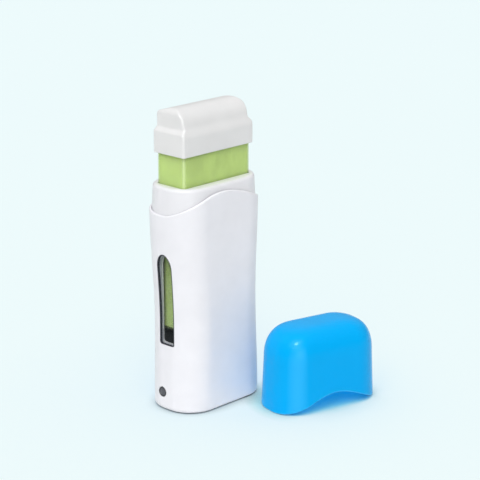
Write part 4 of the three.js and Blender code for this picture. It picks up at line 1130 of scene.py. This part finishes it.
def finish_solids(finishes):
    """Gives every solid that stays in view the finish of its slot."""
    kept = {
        "casing_white": ["base_plate"],
        "liner_black": ["chamber_liner"],
        "cap_white": ["roller_head"],
        "steel": ["thermal_fuse", "grip_spring", "heater_spring_front", "heater_spring_back"]
        + [f"base_screw_{k}" for k in (1, 2, 3, 4)],
        "aluminium": ["heater_plate_front", "heater_plate_back"],
        "ceramic": ["ptc_heater_front", "ptc_heater_back", "led_resistor"],
        "board_green": ["circuit_board"],
        "led_red": ["indicator_led"],
        "wire_brown": ["supply_wire_a", "heater_wire_front"],
        "wire_blue": ["supply_wire_b", "heater_wire_back"],
    }
    for slot, nodes in kept.items():
        for name in nodes:
            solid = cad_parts[name]
            solid.data.materials.clear()
            solid.data.materials.append(finishes[slot])


# Studio

FLOOR_HALF = 4.0
FLOOR_SEEN = "EBF9FB"
FLOOR_LIT = (0.825, 0.84, 0.835, 1)
FLOOR_GLOW = (0.7, 0.8, 0.95)
# Painted shade on the floor: a soft blue near the pieces, and a bluer painted shadow under the lid
FLOOR_PAINTED_NEAR_SHADE = (0.9, 0.935, 1.0)
FLOOR_PAINTED_LID_SHADOW = (0.26, 0.87, 0.96)
FLOOR_CLOUD = 0.99
GLOW_SHARE = 0.5
LID_SHADE = (0.03, 0.045)
# How far the floor looks round itself, in metres, and how open it is at each end of an effect.
# The first gives a painted shadow where a piece touches, the last a painted soft shade near
# the pieces
TOUCH_SHADOW_REACH = (0.015, 0, 0.7)
FREE_WIDE = (0.06, 0.3, 0.7)
NEAR_SHADE_REACH = (0.14, 0.6, 0.98)
SKY_LOW = 0.26
SKY_HIGH = 0.84
KEY_LEVEL = 0.585
KEY_SPREAD = 50
KEY_AZIMUTH = -56
KEY_HEIGHT = 48
BAND = {"azimuth": -31, "height": 8, "far": 2.0, "size": (1.2, 1.0), "brightness": 3.0}
SPOT = {"azimuth": -54, "height": 50, "far": 2.0, "size": (0.3, 0.3), "brightness": 75.0}


def floor():
    """A flat square under everything. It lights the pieces as a near white. Seen directly, in a
    reflection or through a clear piece it is a pale cyan, a part of it held at full strength and
    more of the blue than of the red, so that shadows stay light and turn blue. Near the pieces it
    carries a painted soft blue shade. Under the lid, where it is closed in, it shows the light
    that falls there alone and a painted blue shadow of the lid, and a painted shadow darkens it
    where a piece touches it."""
    mesh = bpy.data.meshes.new("floor")
    corners = np.array([[-1, -1, 0], [1, -1, 0], [1, 1, 0], [-1, 1, 0]]) * FLOOR_HALF
    mesh.from_pydata(corners.tolist(), [], [(0, 1, 2, 3)])
    made = add("floor", mesh)
    paint = Finish("floor_pale", Roughness=0.8, **{"Specular IOR Level": 0.1})
    path = paint.node("ShaderNodeLightPath").outputs
    seen = path["Is Camera Ray"]
    for kind in ("Is Glossy Ray", "Is Transmission Ray"):
        seen = paint.calculate("MAXIMUM", seen, path[kind])
    base = linear(FLOOR_SEEN)
    held = shaded(base, np.array(FLOOR_GLOW) / GLOW_SHARE)
    left = shaded(base, (1 - np.array(FLOOR_GLOW)) / (1 - GLOW_SHARE))

    def free(reach, low, high):
        around = paint.node("ShaderNodeAmbientOcclusion", {"Distance": reach}, samples=8)
        return paint.range(around.outputs["AO"], low, high)

    # Painted soft blue shade near the pieces, in the floor's colour and in its glow
    far = free(*NEAR_SHADE_REACH)
    touch_shadow = free(*TOUCH_SHADOW_REACH)
    lid_place = {0: paint.place, 1: (LID_AT[0] * MM, LID_AT[1] * MM, 0)}
    from_lid = paint.node("ShaderNodeVectorMath", lid_place, operation="DISTANCE")
    outside = paint.range(from_lid.outputs["Value"], *LID_SHADE)
    wide = paint.calculate("MAXIMUM", free(*FREE_WIDE), outside)
    cloud = paint.even(paint.noise(size=400))
    cloudy = paint.tint(cloud, shaded(left, FLOOR_CLOUD), left)
    near_shaded_floor = paint.tint(far, shaded(left, FLOOR_PAINTED_NEAR_SHADE), cloudy)
    # Under the lid the floor's colour is a painted blue shadow of the lid
    colour = paint.tint(wide, shaded(base, FLOOR_PAINTED_LID_SHADOW), near_shaded_floor)
    # A painted shadow darkens the floor, and dims its glow, where a piece touches it
    dim = {0: colour, "Scale": touch_shadow}
    touch_shadowed = paint.node("ShaderNodeVectorMath", dim, operation="SCALE").outputs[0]
    paint.put(paint.shader, {"Base Color": paint.tint(seen, FLOOR_LIT, touch_shadowed)})
    held_near = paint.tint(far, shaded(held, FLOOR_PAINTED_NEAR_SHADE), held)
    glow = paint.node("ShaderNodeEmission", {"Color": held_near, "Strength": touch_shadow})
    share = paint.range(paint.calculate("MULTIPLY", seen, wide), 0, 1, 0, GLOW_SHARE)
    paint.blend(share, paint.shader, glow)
    mesh.materials.append(paint.material)


def sky():
    """The world: pale light that brightens from the horizon to the top, and the floor's colour
    where a ray sees it directly."""
    world = bpy.data.worlds.new("studio")
    world.use_nodes = True
    bpy.context.scene.world = world
    nodes = Nodes(world.node_tree, "World Output")
    way = nodes.node("ShaderNodeTexCoord").outputs["Generated"]
    height = nodes.node("ShaderNodeSeparateXYZ", {0: way}).outputs["Z"]
    level = nodes.range(height, 0, 1, SKY_LOW, SKY_HIGH)
    lit = nodes.tree.nodes["Background"]
    nodes.put(lit, {"Color": WHITE, "Strength": level})
    seen = nodes.node("ShaderNodeBackground", {"Color": linear(FLOOR_SEEN)})
    direct = nodes.node("ShaderNodeLightPath").outputs["Is Camera Ray"]
    nodes.blend(direct, lit, seen)


def reflector(name, azimuth, height, far, size, brightness):
    """A light box that is seen in glossy faces alone. It faces the object from far metres, is
    size metres wide and high, and has the brightness of a face that many times white."""
    data = bpy.data.lights.new(name, "AREA")
    data.shape = "RECTANGLE"
    data.size, data.size_y = size
    data.energy = brightness * math.pi * size[0] * size[1]
    made = add(name, data)
    a, h = math.radians(azimuth), math.radians(height)
    out = far * math.cos(h)
    made.location = (out * math.sin(a), -out * math.cos(a), far * math.sin(h))
    made.rotation_euler = (math.pi / 2 - h, 0, a)
    made.visible_camera = made.visible_diffuse = False


def key_light():
    """A wide, soft sun. Azimuth 0 is in front and -90 on the window's side. Its level is the
    share of full light that it lays on a face turned to it."""
    data = bpy.data.lights.new("key", "SUN")
    data.angle = math.radians(KEY_SPREAD)
    data.energy = KEY_LEVEL * math.pi
    made = add("key", data)
    made.rotation_euler = (math.radians(90 - KEY_HEIGHT), 0, math.radians(KEY_AZIMUTH))


def camera():
    """The camera at the picture's place and angle."""
    data = bpy.data.cameras.new("camera")
    data.sensor_width = SENSOR
    data.lens = CAMERA_FOCUS_PX * SENSOR / PICTURE_PX
    data.clip_start, data.clip_end = CAMERA_CLIP
    made = add("camera", data)
    made.location = CAMERA_AT
    made.rotation_euler = (math.radians(90 - CAMERA_DOWN), 0, math.radians(-CAMERA_YAW))
    bpy.context.scene.camera = made


# Assembly

camera()
sky()
floor()
key_light()
reflector("band", **BAND)
reflector("spot", **SPOT)
bpy.context.scene.view_settings.view_transform = "Standard"

cap_white = moulded("cap_white", "E2E2E2", 0.4, depth=0.01).material
steel = metal("steel", "9A9EA3", 0.3)
inlet_black = moulded("inlet_black", "26282A", 0.55, depth=0.03, mottle=0.08)
casing(casing_finish())
neck(moulded("neck_white", "E6E6EA", 0.36, depth=0.008).material)
pane_smoke = see_through("pane_smoke", **PANE, rough=0.06, shine=0.5)
window(pane_smoke, seal_finish(), frame_finish())
indicator_lamp(lamp_finish())
mains_inlet(inlet_black.material, metal("pin_brass", "C9A766", 0.25, (1, 6, 6)))
bottle_clear = see_through("bottle_clear", **BOTTLE, rough=0.3, shine=0.15)
bottle(bottle_clear, wax_finish())
roller(cap_white)
cap(cap_white)
lid(lid_finish())
liner_black = moulded("liner_black", "646A69", 0.55, grain=0.5, depth=0.05, mottle=0.08)
finish_solids({
    "casing_white": moulded("base_white", "E9E9EE", 0.42, depth=0.03).material,
    "liner_black": liner_black.material,
    "cap_white": cap_white,
    "steel": steel,
    "aluminium": metal("aluminium", "B8BCC0", 0.34, (1, 1, 0.06)),
    "ceramic": ceramic_finish(),
    "board_green": board_finish(),
    "led_red": led_finish(),
    "wire_brown": wire_finish("wire_brown", "6B4632"),
    "wire_blue": wire_finish("wire_blue", "2F5EA8"),
})
